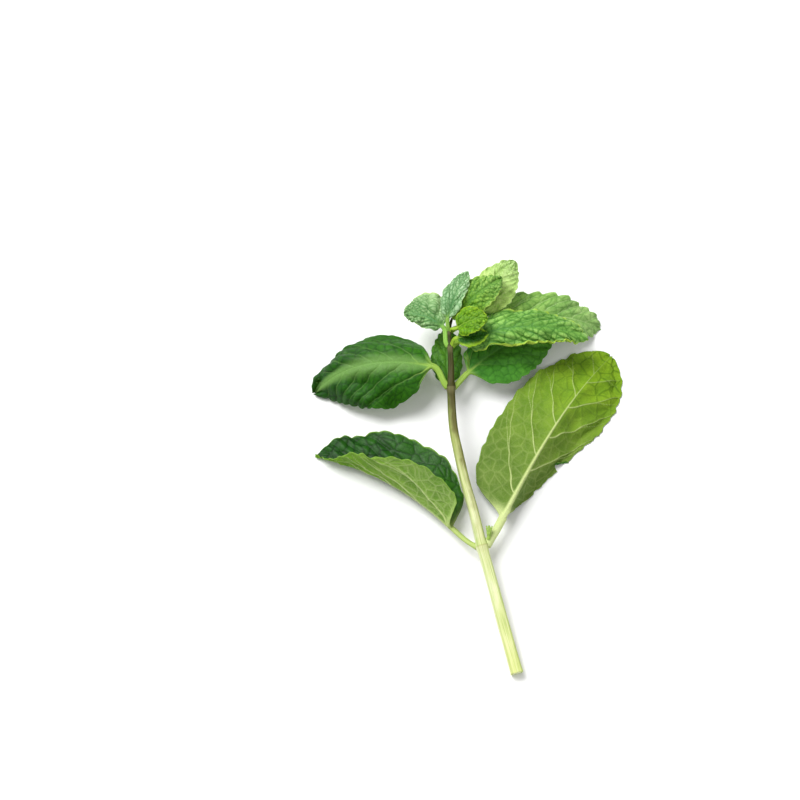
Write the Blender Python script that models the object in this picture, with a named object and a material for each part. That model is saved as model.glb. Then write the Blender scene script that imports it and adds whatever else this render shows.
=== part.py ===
"""A cut sprig of mint, lying on a surface: a square stem, pairs of toothed leaves, and a leafy crown.

Units are metres and degrees, +Z is up and z = 0 is the surface. The stem runs from its cut end at -Y to
the growing tip at +Y, and the origin is below the middle of the sprig's outline. A bearing is a compass
direction: 0 is +Y and 90 is +X. A rise is the angle above the surface. A roll turns a leaf about its
midrib: at 0 its upper side is up, and at 180 it lies on its face.
"""

import bpy
import numpy as np

MIDDLE = np.array([0.0012, 0.0018, 0.0])  # middle of the outline, in the coordinates of the values below

# Blades. Shares of the length run from 0 at a blade's base to 1 at its tip, and from -1 along its petiole.
BLADE_THICKNESS = 0.0006
GAP = 0.0003  # between the stem and what grows from it
FOLD_RADIUS = 0.0012  # how sharply a blade's halves turn up or down beside the midrib
FOLD_START, FOLD_END = -0.02, 0.05  # shares of the length between which the halves take their fold
BLADE_START, BLADE_END = -0.03, 0.07  # and between which the round petiole turns into a flat blade
TIP_HALF_WIDTH = 0.00025
BASE_SHARE, TIP_SHARE = 0.012, 0.97  # the stretch of the outline curve that a blade has
TOOTH_PEAK = 0.7  # where a tooth is highest, as a share of its length: the teeth point forward
TOOTH_DEPTH = 0.18  # of a tooth's length
TOOTH_REACH = 5  # the power of the share of the half width by which a tooth fades inwards
TEETH_START, TEETH_END = 0.1, 0.95  # shares of the length between which the teeth are whole
SWEEP = 0.45  # how far the rows of points lean towards the tip
SWEEP_BEND = 1.3  # above 1, a row leans less beside the midrib than it does at the margin
WAVE_START = 0.2  # the share of the length from which the wave is whole
WAVE_SHIFT = 1.7  # how far the right margin's wave is behind the left one's, in radians
BEND_STEPS = 16
MIDRIB_END = 0.85  # the share of the length at which the midrib's ridge has run out
MIDRIB_STEPS, PETIOLE_LINE_STEPS = 200, 40
PETIOLE_STEPS = 4
PETIOLE_ROUND = 80  # degrees from the middle of a petiole's face to its side
PETIOLE_EASE = 0.35  # how much of the petiole is spent on turning out of the stem and into the blade
PETIOLE_LEAN = 0.8  # how far it sets out along the stem, for each step outwards
ACROSS = np.array([-1.0, -0.82, -0.5, -0.12, 0.0, 0.12, 0.5, 0.82, 1.0])  # shares of the half width
SMALL_ACROSS = np.array([-1.0, -0.75, -0.35, 0.0, 0.35, 0.75, 1.0])
BUD_ACROSS = np.array([-1.0, -0.5, 0.0, 0.5, 1.0])
SMALL_LENGTH = 0.025  # a blade shorter than this has fewer points across

# The stem's centre line, and its radius at each of those points, from the cut end to the growing tip.
STEM_LINE = np.array(
    [
        (0.0145, -0.0643, 0.0019),
        (0.0110, -0.0511, 0.0033),
        (0.0075, -0.0374, 0.0048),
        (0.0042, -0.0249, 0.0062),
        (0.0018, -0.0144, 0.0073),
        (-0.0009, -0.0041, 0.0084),
        (-0.0030, 0.0056, 0.0093),
        (-0.0045, 0.0141, 0.0102),
        (-0.0051, 0.0267, 0.0114),
        (-0.0050, 0.0337, 0.0122),
        (-0.0053, 0.0403, 0.0130),
        (-0.0056, 0.0453, 0.0138),
        (-0.0046, 0.0493, 0.0150),
    ]
)
STEM_RADIUS = 0.001 * np.array([2.15, 2.1, 2.0, 1.9, 1.8, 1.75, 1.7, 1.6, 1.4, 1.1, 0.9, 0.7, 0.45])
NODES = {1: 3, 2: 8, 3: 10, 4: 11, 5: 12}  # which point of the stem each node is, counted from the cut end
NODE_SWELLING = 0.14
NODE_LENGTH = 0.0014
STEM_RINGS = 49
STEM_SIDES = 12
STEM_SQUARENESS = 0.10  # how far the corners stand out from the round

# start: where the blade begins. bearing and rise: of the midrib, at the blade's base, middle and tip.
# roll: at the base and the tip. half_widths, curls: left and right of the midrib, seen from the upper side.
# folds: the angle at which each half leaves the midrib, at the base and at the tip, upwards if positive.
# wave: how far the margin rises and falls, how many times along the leaf, and where it begins, in radians.
# outlines: for the left and the right half, how slowly it widens from the base and how slowly from the tip.
MINT_OUTLINE = (0.55, 0.75)
LEAVES = {
    "leaf_1_right": {
        "node": 1,
        "start": (0.0111, -0.0152, 0.0060),
        "bearing": (28, 32, 41),
        "rise": (8, -4, -20),
        "roll": (180, 178),
        "length": 0.069,
        "half_widths": (0.0155, 0.0185),
        "folds": ((70, -5), (12, 4)),
        "curls": (10, 10),
        "wave": (0.0009, 2.5, 0.4),
        "outlines": ((0.85, 0.60), (0.36, 0.56)),
        "teeth": 14,
        "petiole_radius": 0.0011,
        "colour": (0.30, 0.46, 0.12, 1.0),
    },
    "leaf_1_left": {
        "node": 1,
        "start": (-0.0051, -0.0183, 0.0045),
        "bearing": (-45, -60, -74),
        "rise": (2, -4, -9),
        "roll": (-54, -38),
        "length": 0.051,
        "half_widths": (0.0150, 0.0170),
        "folds": ((66, 30), (52, 30)),
        "curls": (14, 0),
        "wave": (0.0007, 3, 2.0),
        "outlines": ((0.50, 1.05), MINT_OUTLINE),
        "teeth": 12,
        "petiole_radius": 0.0008,
        "colour": (0.20, 0.40, 0.10, 1.0),
    },
    "leaf_2_left": {
        "node": 2,
        "start": (-0.0112, 0.0333, 0.0132),
        "bearing": (-80, -97, -120),
        "rise": (6, -14, -60),
        "roll": (4, 0),
        "length": 0.043,
        "half_widths": (0.0150, 0.0130),
        "folds": ((-6, -6), (-4, -4)),
        "curls": (-40, -50),
        "wave": (0.0008, 3, 1.0),
        "outlines": (MINT_OUTLINE, MINT_OUTLINE),
        "teeth": 12,
        "petiole_radius": 0.00075,
        "colour": (0.10, 0.32, 0.06, 1.0),
    },
    "leaf_2_right": {
        "node": 2,
        "start": (0.0005, 0.0329, 0.0085),
        "bearing": (46, 56, 66),
        "rise": (0, -10, -15),
        "roll": (0, 0),
        "length": 0.036,
        "half_widths": (0.0080, 0.0120),
        "folds": ((5, 5), (5, 5)),
        "curls": (-10, -25),
        "wave": (0.0006, 2.5, 0.0),
        "outlines": (MINT_OUTLINE, MINT_OUTLINE),
        "teeth": 10,
        "petiole_radius": 0.0007,
        "colour": (0.10, 0.32, 0.06, 1.0),
    },
    "leaf_2_axil": {
        "node": 2,
        "start": (-0.0056, 0.0296, 0.0064),
        "bearing": (-8, 0, 8),
        "rise": (2, 0, 0),
        "roll": (0, 0),
        "length": 0.020,
        "half_widths": (0.0050, 0.0050),
        "folds": ((5, 5), (5, 5)),
        "curls": (-10, -10),
        "wave": (0.0004, 2, 0.5),
        "outlines": (MINT_OUTLINE, MINT_OUTLINE),
        "teeth": 7,
        "petiole_radius": 0.0005,
        "colour": (0.12, 0.34, 0.07, 1.0),
    },
    "leaf_3_right": {
        "node": 3,
        "start": (-0.0021, 0.0420, 0.0136),
        "bearing": (80, 88, 112),
        "rise": (28, 2, -22),
        "roll": (0, -5),
        "length": 0.043,
        "half_widths": (0.0090, 0.0074),
        "folds": ((-14, -10), (-14, -20)),
        "curls": (-45, -50),
        "wave": (0.0006, 3.5, 2.5),
        "outlines": (MINT_OUTLINE, MINT_OUTLINE),
        "teeth": 12,
        "petiole_radius": 0.0007,
        "colour": (0.14, 0.40, 0.09, 1.0),
    },
    "leaf_3_left": {
        "node": 3,
        "start": (-0.0077, 0.0465, 0.0146),
        "bearing": (-55, -70, -80),
        "rise": (22, 0, -38),
        "roll": (10, 0),
        "length": 0.014,
        "half_widths": (0.0034, 0.0088),
        "folds": ((0, 0), (0, 0)),
        "curls": (-30, -20),
        "wave": (0.0005, 2, 1.0),
        "outlines": (MINT_OUTLINE, MINT_OUTLINE),
        "teeth": 7,
        "petiole_radius": 0.0005,
        "colour": (0.12, 0.36, 0.14, 1.0),
    },
    "leaf_4_left": {
        "node": 4,
        "start": (-0.0060, 0.0484, 0.0170),
        "bearing": (16, 24, 34),
        "rise": (40, 15, -10),
        "roll": (0, 0),
        "length": 0.017,
        "half_widths": (0.0050, 0.0035),
        "folds": ((-20, -20), (30, 10)),
        "curls": (-30, 0),
        "wave": (0.0004, 2, 3.0),
        "outlines": (MINT_OUTLINE, MINT_OUTLINE),
        "teeth": 7,
        "petiole_radius": 0.0004,
        "colour": (0.12, 0.36, 0.14, 1.0),
    },
    "leaf_4_right": {
        "node": 4,
        "start": (0.0040, 0.0495, 0.0100),
        "bearing": (78, 86, 100),
        "rise": (2, -10, -48),
        "roll": (0, 0),
        "length": 0.044,
        "half_widths": (0.0085, 0.0090),
        "folds": ((5, 5), (5, 5)),
        "curls": (-10, -20),
        "wave": (0.0006, 3, 4.0),
        "outlines": (MINT_OUTLINE, MINT_OUTLINE),
        "teeth": 10,
        "petiole_radius": 0.0006,
        "colour": (0.25, 0.47, 0.15, 1.0),
    },
    "leaf_5_back": {
        "node": 5,
        "start": (0.0042, 0.0512, 0.0155),
        "bearing": (28, 36, 42),
        "rise": (16, 12, 6),
        "roll": (178, 182),
        "length": 0.0205,
        "half_widths": (0.0072, 0.0072),
        "folds": ((10, 10), (10, 10)),
        "curls": (10, 10),
        "wave": (0.0006, 2.5, 1.5),
        "outlines": (MINT_OUTLINE, MINT_OUTLINE),
        "teeth": 8,
        "petiole_radius": 0.00045,
        "colour": (0.42, 0.60, 0.25, 1.0),
    },
    "leaf_5_front": {
        "node": 5,
        "start": (-0.0018, 0.0508, 0.0186),
        "bearing": (48, 54, 60),
        "rise": (30, 10, -12),
        "roll": (0, 0),
        "length": 0.017,
        "half_widths": (0.0055, 0.0055),
        "folds": ((5, 5), (5, 5)),
        "curls": (-30, -30),
        "wave": (0.0004, 2.5, 0.0),
        "outlines": (MINT_OUTLINE, MINT_OUTLINE),
        "teeth": 7,
        "petiole_radius": 0.00035,
        "colour": (0.20, 0.45, 0.08, 1.0),
    },
    "leaf_6_right": {
        "node": 4,
        "start": (-0.0030, 0.0445, 0.0184),
        "bearing": (75, 82, 95),
        "rise": (50, 25, -15),
        "roll": (0, 0),
        "length": 0.0110,
        "half_widths": (0.0048, 0.0048),
        "folds": ((10, 10), (20, 20)),
        "curls": (-20, -30),
        "wave": (0.0004, 2, 2.0),
        "outlines": (MINT_OUTLINE, MINT_OUTLINE),
        "teeth": 6,
        "petiole_radius": 0.00032,
        "colour": (0.30, 0.50, 0.06, 1.0),
    },
    "leaf_6_front": {
        "node": 3,
        "start": (-0.0030, 0.0416, 0.0168),
        "bearing": (92, 86, 80),
        "rise": (14, 10, 6),
        "roll": (0, 0),
        "length": 0.010,
        "half_widths": (0.0030, 0.0036),
        "folds": ((32, 32), (5, 15)),
        "curls": (12, -20),
        "wave": (0.0003, 2, 0.0),
        "outlines": (MINT_OUTLINE, MINT_OUTLINE),
        "teeth": 6,
        "petiole_radius": 0.00035,
        "colour": (0.22, 0.45, 0.08, 1.0),
    },
}

# Each bud is a core with two pairs of folded leaves round it.
BUDS = {
    "bud_tip": {
        "base": (-0.0040, 0.0507, 0.0154),
        "bearing": 35,
        "rise": 36,
        "length": 0.0034,
        "radius": 0.0008,
    },
    "bud_axil": {
        "base": (0.0063, -0.0231, 0.0073),
        "bearing": 2,
        "rise": 24,
        "length": 0.0042,
        "radius": 0.0006,
    },
}
BUD_TURNS = {0: 15, 180: 15, 90: 8, 270: 8}  # which way a leaf leans from the bud's axis, and how far
BUD_OUTLINE = (0.6, 0.8)
BUD_ROOT = 0.1  # where on the axis the leaves begin, as a share of the bud's length
BUD_LEAF_LENGTH = 0.8  # of the bud's length, as the core's
BUD_LEAF_WIDTH = 1.3  # of the bud's radius
BUD_PETIOLE = 0.4  # of the bud's radius
BUD_FOLD, BUD_CURL = 25, 15
BUD_TEETH = 3
CORE_RINGS, CORE_SIDES = 7, 8
CORE_SWELL, CORE_TAPER = 1.15, 0.4  # of the bud's radius
BUD_COLOUR = (0.24, 0.48, 0.07, 1.0)
STEM_COLOUR = (0.62, 0.70, 0.36, 1.0)
LEAF_ROUGHNESS = 0.5
STEM_ROUGHNESS = 0.4


def material(name, colour, roughness):
    made = bpy.data.materials.new(name)
    made.diffuse_color = colour
    made.use_nodes = True
    shader = made.node_tree.nodes["Principled BSDF"]
    shader.inputs["Base Color"].default_value = colour
    shader.inputs["Roughness"].default_value = roughness
    shader.inputs["Metallic"].default_value = 0.0
    return made


def mesh_object(name, points, faces, collection=None):
    mesh = bpy.data.meshes.new(name)
    mesh.from_pydata((points - MIDDLE).tolist(), [], [list(face) for face in faces])
    mesh.shade_smooth()
    made = bpy.data.objects.new(name, mesh)
    (collection or bpy.context.scene.collection).objects.link(made)
    return made


def direction(bearing, rise):
    """The unit vector of a compass bearing and a rise."""
    bearing, rise = np.radians(bearing), np.radians(rise)
    level = np.cos(rise)
    return np.stack([np.sin(bearing) * level, np.cos(bearing) * level, np.sin(rise)], axis=-1)


def through(values, share):
    """The parabola with these three values at shares 0, 0.5 and 1."""
    first, middle, last = values
    straight = first + (last - first) * share
    return straight + (4 * middle - 2 * first - 2 * last) * share * (1 - share)


def smooth_line(points, steps):
    """Points on the Catmull-Rom curve through the given ones; a step of 1 is one stretch."""
    ends = 2 * points[[0, -1]] - points[[1, -2]]
    padded = np.vstack([ends[:1], points, ends[1:]])
    first = np.clip(np.floor(steps).astype(int), 0, len(points) - 2)
    t = (steps - first)[:, None]
    before, start, end, after = (padded[first + k] for k in range(4))
    bend = 2 * before - 5 * start + 4 * end - after
    twist = 3 * (start - end) + after - before
    return 0.5 * (2 * start + (end - before) * t + bend * t**2 + twist * t**3)


def unit(vectors):
    return vectors / np.linalg.norm(vectors, axis=-1, keepdims=True)


def sides_of(line, roll):
    """The unit vectors to the right of a line and upwards from it, turned about it by the roll."""
    ahead = unit(np.gradient(line, axis=0))
    level = unit(np.stack([ahead[:, 1], -ahead[:, 0], np.zeros(len(ahead))], axis=-1))
    turn = np.radians(roll)[:, None]
    right = level * np.cos(turn) + np.cross(level, ahead) * np.sin(turn)
    return right, np.cross(right, ahead)


def root_of(leaf):
    """Where a leaf's petiole meets the stem, with the unit vectors out of the stem and along it."""
    if "root" in leaf:
        ahead = direction(leaf["bearing"][0], leaf["rise"][0])
        return leaf["root"], ahead, ahead
    index = NODES[leaf["node"]]
    centre = STEM_LINE[index]
    along = unit(STEM_LINE[min(index + 1, len(STEM_LINE) - 1)] - STEM_LINE[index - 1])
    reach = np.array(leaf["start"]) - centre
    out = unit(reach - np.dot(reach, along) * along)
    swollen = STEM_RADIUS[index] * (1 + NODE_SWELLING)
    return centre + out * (swollen + GAP), out, along


def leaf_line(leaf):
    """The line of a leaf's petiole and midrib, at shares from -1 at the root, by 0 at the blade, to 1."""
    root, out, along = root_of(leaf)
    start = np.array(leaf["start"])
    share = np.linspace(0, 1, MIDRIB_STEPS + 1)
    heading = direction(through(leaf["bearing"], share), through(leaf["rise"], share))
    steps = (heading[1:] + heading[:-1]) / 2 * leaf["length"] / MIDRIB_STEPS
    midrib = start + np.vstack([np.zeros(3), np.cumsum(steps, axis=0)])
    reach = np.linalg.norm(start - root) * PETIOLE_EASE
    leaving = root + unit(out + PETIOLE_LEAN * along) * reach
    arriving = start - heading[0] * reach
    t = np.linspace(0, 1, PETIOLE_LINE_STEPS, endpoint=False)[:, None]
    petiole = root * (1 - t) ** 3 + 3 * leaving * t * (1 - t) ** 2
    petiole += 3 * arriving * t**2 * (1 - t) + start * t**3
    shares = np.concatenate([t[:, 0] - 1, share])
    line = np.vstack([petiole, midrib])
    right, up = sides_of(line, np.interp(shares, [0, 1], leaf["roll"]))
    return shares, line, right, up


def ease(value, low, high):
    """0 below low, 1 above high, and a smooth rise between them."""
    share = np.clip((value - low) / (high - low), 0, 1)
    return share * share * (3 - 2 * share)


def half_width(leaf, along, left):
    """The half width at a share of the length: nothing at both ends, widest where the powers say."""
    near, far = (np.where(left, *powers) for powers in zip(*leaf["outlines"]))
    share = np.clip(along * TIP_SHARE + BASE_SHARE * (1 - along), 0, 1)
    peak = near / (near + far)
    width = share**near * (1 - share) ** far / (peak**near * (1 - peak) ** far)
    return np.where(left, *leaf["half_widths"]) * width


def teeth(leaf, along, out):
    """How far forward-pointing teeth move the margin out or in. It fades at both ends and near the midrib."""
    phase = (along * leaf["teeth"]) % 1
    tooth = np.where(phase < TOOTH_PEAK, phase / TOOTH_PEAK, (1 - phase) / (1 - TOOTH_PEAK)) - 0.5
    whole = ease(along, 0, TEETH_START) * ease(along, 1, TEETH_END)
    return TOOTH_DEPTH * leaf["length"] / leaf["teeth"] * whole * tooth * out**TOOTH_REACH


def leaf_grid(leaf, stations, across):
    """A leaf's middle surface as a grid of points, and how far each station is blade and not petiole.

    A row follows the side veins: it leaves the midrib and leans towards the tip. Each half leaves the midrib
    at its fold angle and bends on by its curl. No point lies lower than the surface that the sprig lies on.
    """
    station, side = np.meshgrid(stations, across, indexing="ij")
    left, out = side < 0, np.abs(side)
    along = np.clip(station, 0, 1)
    lean = SWEEP * along * (1 - along)
    blade = ease(station, BLADE_START, BLADE_END)
    width = (half_width(leaf, along + lean, left) + teeth(leaf, along, out)) * blade
    round_width = leaf["petiole_radius"] * np.sin(np.radians(PETIOLE_ROUND) * out) * (1 - blade)
    reach = np.maximum(width * out, round_width + TIP_HALF_WIDTH * out)
    opened = np.clip((station - FOLD_START) / (FOLD_END - FOLD_START), 0, 1)
    folds = [base + (tip - base) * along for base, tip in leaf["folds"]]
    fold = np.where(left, *folds) * opened
    curl = np.where(left, *leaf["curls"]) * opened
    sideways, upwards = np.zeros(side.shape), np.zeros(side.shape)
    for step in (np.arange(BEND_STEPS) + 0.5) / BEND_STEPS:
        angle = np.radians(fold * np.clip(reach * step / FOLD_RADIUS, 0, 1) + curl * out * step)
        sideways += np.cos(angle) * reach / BEND_STEPS
        upwards += np.sin(angle) * reach / BEND_STEPS
    height, count, begin = leaf["wave"]
    swing = np.sin(2 * np.pi * count * along + begin + WAVE_SHIFT * ~left)
    upwards += height * out**2 * swing * np.clip(along / WAVE_START, 0, 1)
    shares, *tracks = leaf_line(leaf)
    where = station + lean * out**SWEEP_BEND
    centre, right, up = (
        np.stack([np.interp(where, shares, values) for values in track.T], axis=-1) for track in tracks
    )
    grid = centre + right * (np.sign(side) * sideways)[..., None] + up * upwards[..., None]
    grid[..., 2] = np.maximum(grid[..., 2], BLADE_THICKNESS / 2)
    return grid, blade


def blade_triangles(rows, columns):
    """The triangles of a blade whose upper points and then lower points are numbered row by row.

    Each square of the upper face is split along the same diagonal as the one below it, so that the faces of a
    waved blade never cross. The last triangles close the rim.
    """
    index = np.arange(rows * columns).reshape(rows, columns)
    a, b, c, d = index[:-1, :-1], index[1:, :-1], index[1:, 1:], index[:-1, 1:]
    left = (np.arange(columns - 1) < (columns - 1) // 2)[:, None]
    first = np.where(left, np.stack([a, b, c], axis=-1), np.stack([a, b, d], axis=-1))
    second = np.where(left, np.stack([a, c, d], axis=-1), np.stack([b, c, d], axis=-1))
    lower = np.concatenate([first.reshape(-1, 3), second.reshape(-1, 3)])
    rim = np.concatenate([index[:, 0], index[-1, 1:], index[-2::-1, -1], index[0, -2:0:-1]])
    following = np.roll(rim, -1)
    below = index.size
    walls = [
        np.stack([rim, following, following + below], axis=-1),
        np.stack([rim, following + below, rim + below], axis=-1),
    ]
    return np.concatenate([lower[:, ::-1], lower + below, *walls])


def leaf_solid(leaf, across, flat_end=None):
    """A leaf as one closed body: round petiole, blade, and the midrib's ridge on the under side."""
    count = np.arange(leaf["teeth"]) / leaf["teeth"]
    stations = np.sort(np.concatenate([count, count + TOOTH_PEAK / leaf["teeth"], [1.0]]))
    stations = np.concatenate([np.linspace(-1, 0, PETIOLE_STEPS, endpoint=False), stations])
    grid, blade = leaf_grid(leaf, stations, across)
    normal = unit(np.cross(np.gradient(grid, axis=1), np.gradient(grid, axis=0)))
    radius = leaf["petiole_radius"]
    round_height = radius * np.cos(np.radians(PETIOLE_ROUND) * np.abs(across)) * (1 - blade)
    ridge = radius * np.clip(1 - np.clip(stations, 0, 1) / MIDRIB_END, 0, 1)[:, None] * (across == 0)
    upper = grid + normal * (round_height + BLADE_THICKNESS / 2 * blade)[..., None]
    lower = grid - normal * (round_height + (BLADE_THICKNESS / 2 + ridge) * blade)[..., None]
    for face in (upper, lower):
        face[..., 2] = np.maximum(face[..., 2], 0)
        if flat_end:
            root, out = flat_end
            face[0] -= ((face[0] - root) @ out)[:, None] * out
    points = np.vstack([upper.reshape(-1, 3), lower.reshape(-1, 3)])
    return points, blade_triangles(*grid.shape[:2])


def build_stem():
    steps = np.linspace(0, len(STEM_LINE) - 1, STEM_RINGS)
    line = smooth_line(STEM_LINE, steps)
    radius = np.interp(steps, np.arange(len(STEM_LINE)), STEM_RADIUS)
    for index in list(NODES.values())[:-1]:
        distance = np.linalg.norm(line - STEM_LINE[index], axis=1)
        radius = radius * (1 + NODE_SWELLING * np.exp(-((distance / NODE_LENGTH) ** 2)))
    right, up = sides_of(line, np.zeros(STEM_RINGS))
    angle = np.arange(STEM_SIDES) * 2 * np.pi / STEM_SIDES
    reach = radius[:, None] * (1 - STEM_SQUARENESS * (1 + np.cos(4 * angle)) / 2)
    rings = line[:, None] + (reach * np.cos(angle))[..., None] * right[:, None]
    rings += (reach * np.sin(angle))[..., None] * up[:, None]
    rings[..., 2] = np.maximum(rings[..., 2], 0)
    index = np.arange(STEM_RINGS * STEM_SIDES).reshape(STEM_RINGS, STEM_SIDES)
    beside = np.roll(index, -1, axis=1)
    walls = np.stack([index[:-1], beside[:-1], beside[1:], index[1:]], axis=-1).reshape(-1, 4)
    faces = [*walls[:, ::-1].tolist(), index[0].tolist(), index[-1, ::-1].tolist()]
    stem = mesh_object("stem", rings.reshape(-1, 3), faces)
    stem.data.materials.append(material("stem", STEM_COLOUR, STEM_ROUGHNESS))


def build_leaf(name, leaf):
    root, out, _ = root_of(leaf)
    across = SMALL_ACROSS if leaf["length"] < SMALL_LENGTH else ACROSS
    made = mesh_object(name, *leaf_solid(leaf, across, (root, out)))
    made.data.materials.append(material(name, leaf["colour"], LEAF_ROUGHNESS))


def bud_core(bud, axis, name):
    """An egg round the bud's axis, as rings between two end points."""
    heights = np.linspace(0, 1, CORE_RINGS + 2)[1:-1]
    angle = np.arange(CORE_SIDES) * 2 * np.pi / CORE_SIDES
    across = unit(np.cross(axis, (0, 0, 1)))
    other = np.cross(axis, across)
    base, length = np.array(bud["base"]), bud["length"] * BUD_LEAF_LENGTH
    swell = bud["radius"] * np.sqrt(4 * heights * (1 - heights)) * (CORE_SWELL - CORE_TAPER * heights)
    turned = np.cos(angle)[:, None] * across + np.sin(angle)[:, None] * other
    rings = base + axis * (heights * length)[:, None, None] + swell[:, None, None] * turned
    points = np.vstack([rings.reshape(-1, 3), base, base + axis * length])
    lowest, highest = len(points) - 2, len(points) - 1
    index = np.arange(CORE_RINGS * CORE_SIDES).reshape(CORE_RINGS, CORE_SIDES)
    beside = np.roll(index, -1, axis=1)
    faces = np.stack([index[:-1], beside[:-1], beside[1:], index[1:]], axis=-1).reshape(-1, 4).tolist()
    faces += [[lowest, b, a] for a, b in zip(index[0], beside[0])]
    faces += [[highest, a, b] for a, b in zip(index[-1], beside[-1])]
    return mesh_object(name, points, faces)


def bud_leaf(bud, axis, turn, spread):
    """The values of one folded leaf, with its root sunk in the core."""
    lean = np.radians(turn)
    bearing = bud["bearing"] + spread * np.cos(lean)
    rise = bud["rise"] + spread * np.sin(lean)
    root = np.array(bud["base"]) + axis * bud["length"] * BUD_ROOT
    return {
        "root": root,
        "start": root + direction(bearing, rise) * bud["radius"],
        "bearing": (bearing, bearing, bearing),
        "rise": (rise, rise, rise),
        "roll": (turn + 90, turn + 90),
        "length": bud["length"] * BUD_LEAF_LENGTH,
        "half_widths": (bud["radius"] * BUD_LEAF_WIDTH, bud["radius"] * BUD_LEAF_WIDTH),
        "folds": ((BUD_FOLD, BUD_FOLD), (BUD_FOLD, BUD_FOLD)),
        "curls": (BUD_CURL, BUD_CURL),
        "wave": (0, 0, 0),
        "outlines": (BUD_OUTLINE, BUD_OUTLINE),
        "teeth": BUD_TEETH,
        "petiole_radius": bud["radius"] * BUD_PETIOLE,
    }


def build_bud(name, bud):
    """A core and four small folded leaves joined in one body."""
    helpers = bpy.data.collections.new(name)
    bpy.context.scene.collection.children.link(helpers)
    axis = direction(bud["bearing"], bud["rise"])
    made = bud_core(bud, axis, name)
    for turn, spread in BUD_TURNS.items():
        leaf = bud_leaf(bud, axis, turn, spread)
        mesh_object(f"{name}_{turn}", *leaf_solid(leaf, BUD_ACROSS), helpers)
    union = made.modifiers.new("union", "BOOLEAN")
    union.operation = "UNION"
    union.operand_type = "COLLECTION"
    union.collection = helpers
    union.solver = "EXACT"
    graph = bpy.context.evaluated_depsgraph_get()
    joined = bpy.data.meshes.new_from_object(made.evaluated_get(graph))
    made.modifiers.clear()
    made.data = joined
    for helper in list(helpers.objects):
        bpy.data.objects.remove(helper)
    bpy.data.collections.remove(helpers)
    joined.materials.clear()
    joined.materials.append(material(name, BUD_COLOUR, LEAF_ROUGHNESS))


for old in list(bpy.data.objects):
    bpy.data.objects.remove(old)
build_stem()
for leaf_name, leaf_values in LEAVES.items():
    build_leaf(leaf_name, leaf_values)
for bud_name, bud_values in BUDS.items():
    build_bud(bud_name, bud_values)
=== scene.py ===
import bpy
import numpy as np
from mathutils import Euler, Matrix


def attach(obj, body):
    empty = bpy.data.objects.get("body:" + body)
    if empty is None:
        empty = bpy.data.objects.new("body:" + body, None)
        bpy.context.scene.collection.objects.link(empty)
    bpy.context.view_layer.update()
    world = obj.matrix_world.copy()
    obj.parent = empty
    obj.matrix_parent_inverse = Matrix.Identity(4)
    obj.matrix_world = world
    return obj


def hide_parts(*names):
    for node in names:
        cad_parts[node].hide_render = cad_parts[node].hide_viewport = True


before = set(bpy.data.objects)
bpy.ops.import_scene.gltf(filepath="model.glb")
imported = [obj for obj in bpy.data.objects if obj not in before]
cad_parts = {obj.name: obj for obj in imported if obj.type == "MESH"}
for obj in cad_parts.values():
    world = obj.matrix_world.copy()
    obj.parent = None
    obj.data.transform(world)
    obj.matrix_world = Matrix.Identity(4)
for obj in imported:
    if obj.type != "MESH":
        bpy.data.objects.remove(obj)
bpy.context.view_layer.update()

# ---------------------------------------------------------------------------------------------------------
# The table and the light. A plain white table top under a bright room, with one wide soft lamp high on the
# left and a weaker one on the right. The camera looks down on the sprig as it lies there.
# ---------------------------------------------------------------------------------------------------------
CAMERA_TARGET = np.array([-0.0226, 0.0210, 0.0100])
CAMERA_ELEVATION = 68
CAMERA_DISTANCE = 0.6045
CAMERA_LENS = 85
TABLE_SIDE = 6.0
TABLE_SHADES = (0.84, 0.88)  # its faint clouds
ROOM_LIGHT = 0.56
LAMPS = {  # place, watts, side in metres
    "lamp_left": ((-0.42, 0.36, 0.85), 13.0, 0.60),
    "lamp_right": ((0.60, -0.30, 0.60), 1.0, 0.50),
}


def give(tree, socket, value):
    """Joins another node's output to an input, or sets the input to a value."""
    if isinstance(value, bpy.types.NodeSocket):
        tree.links.new(value, socket)
    else:
        socket.default_value = value


def put(tree, kind, settings=None, **inputs):
    """A node of this kind, with each input set to a value or joined to another node's output."""
    node = tree.nodes.new(kind)
    for key, value in (settings or {}).items():
        setattr(node, key, value)
    for key, value in inputs.items():
        give(tree, node.inputs[key.replace("_", " ")], value)
    return node


def noise(tree, vector, scale, detail, roughness=0.5):
    """Cloudy noise from 0 to 1 over these coordinates."""
    inputs = dict(Vector=vector, Scale=scale, Detail=detail, Roughness=roughness)
    return put(tree, "ShaderNodeTexNoise", **inputs).outputs["Fac"]


def grey(tree, value):
    """A colour with the same value in all three channels."""
    return put(tree, "ShaderNodeCombineColor", Red=value, Green=value, Blue=value).outputs["Color"]


def new_material(name):
    """A new material and its node tree, which is empty."""
    made = bpy.data.materials.new(name)
    made.use_nodes = True
    made.node_tree.nodes.clear()
    return made, made.node_tree


table_material, tree = new_material("white_table")
coordinates = put(tree, "ShaderNodeTexCoord").outputs["Object"]
cloud = noise(tree, coordinates, 3.0, 2.0)
darkest, lightest = TABLE_SHADES
faint = put(tree, "ShaderNodeMapRange", Value=cloud, To_Min=darkest, To_Max=lightest)
top_colour = grey(tree, faint.outputs["Result"])
top = put(tree, "ShaderNodeBsdfPrincipled", Base_Color=top_colour, Roughness=0.8)
put(tree, "ShaderNodeOutputMaterial", Surface=top.outputs["BSDF"])

table_mesh = bpy.data.meshes.new("table")
table_corners = np.array([(-1, -1, 0), (1, -1, 0), (1, 1, 0), (-1, 1, 0)]) * TABLE_SIDE / 2
table_mesh.from_pydata(table_corners.tolist(), [], [(0, 1, 2, 3)])
table_mesh.materials.append(table_material)
table = bpy.data.objects.new("table", table_mesh)
bpy.context.scene.collection.objects.link(table)

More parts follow.
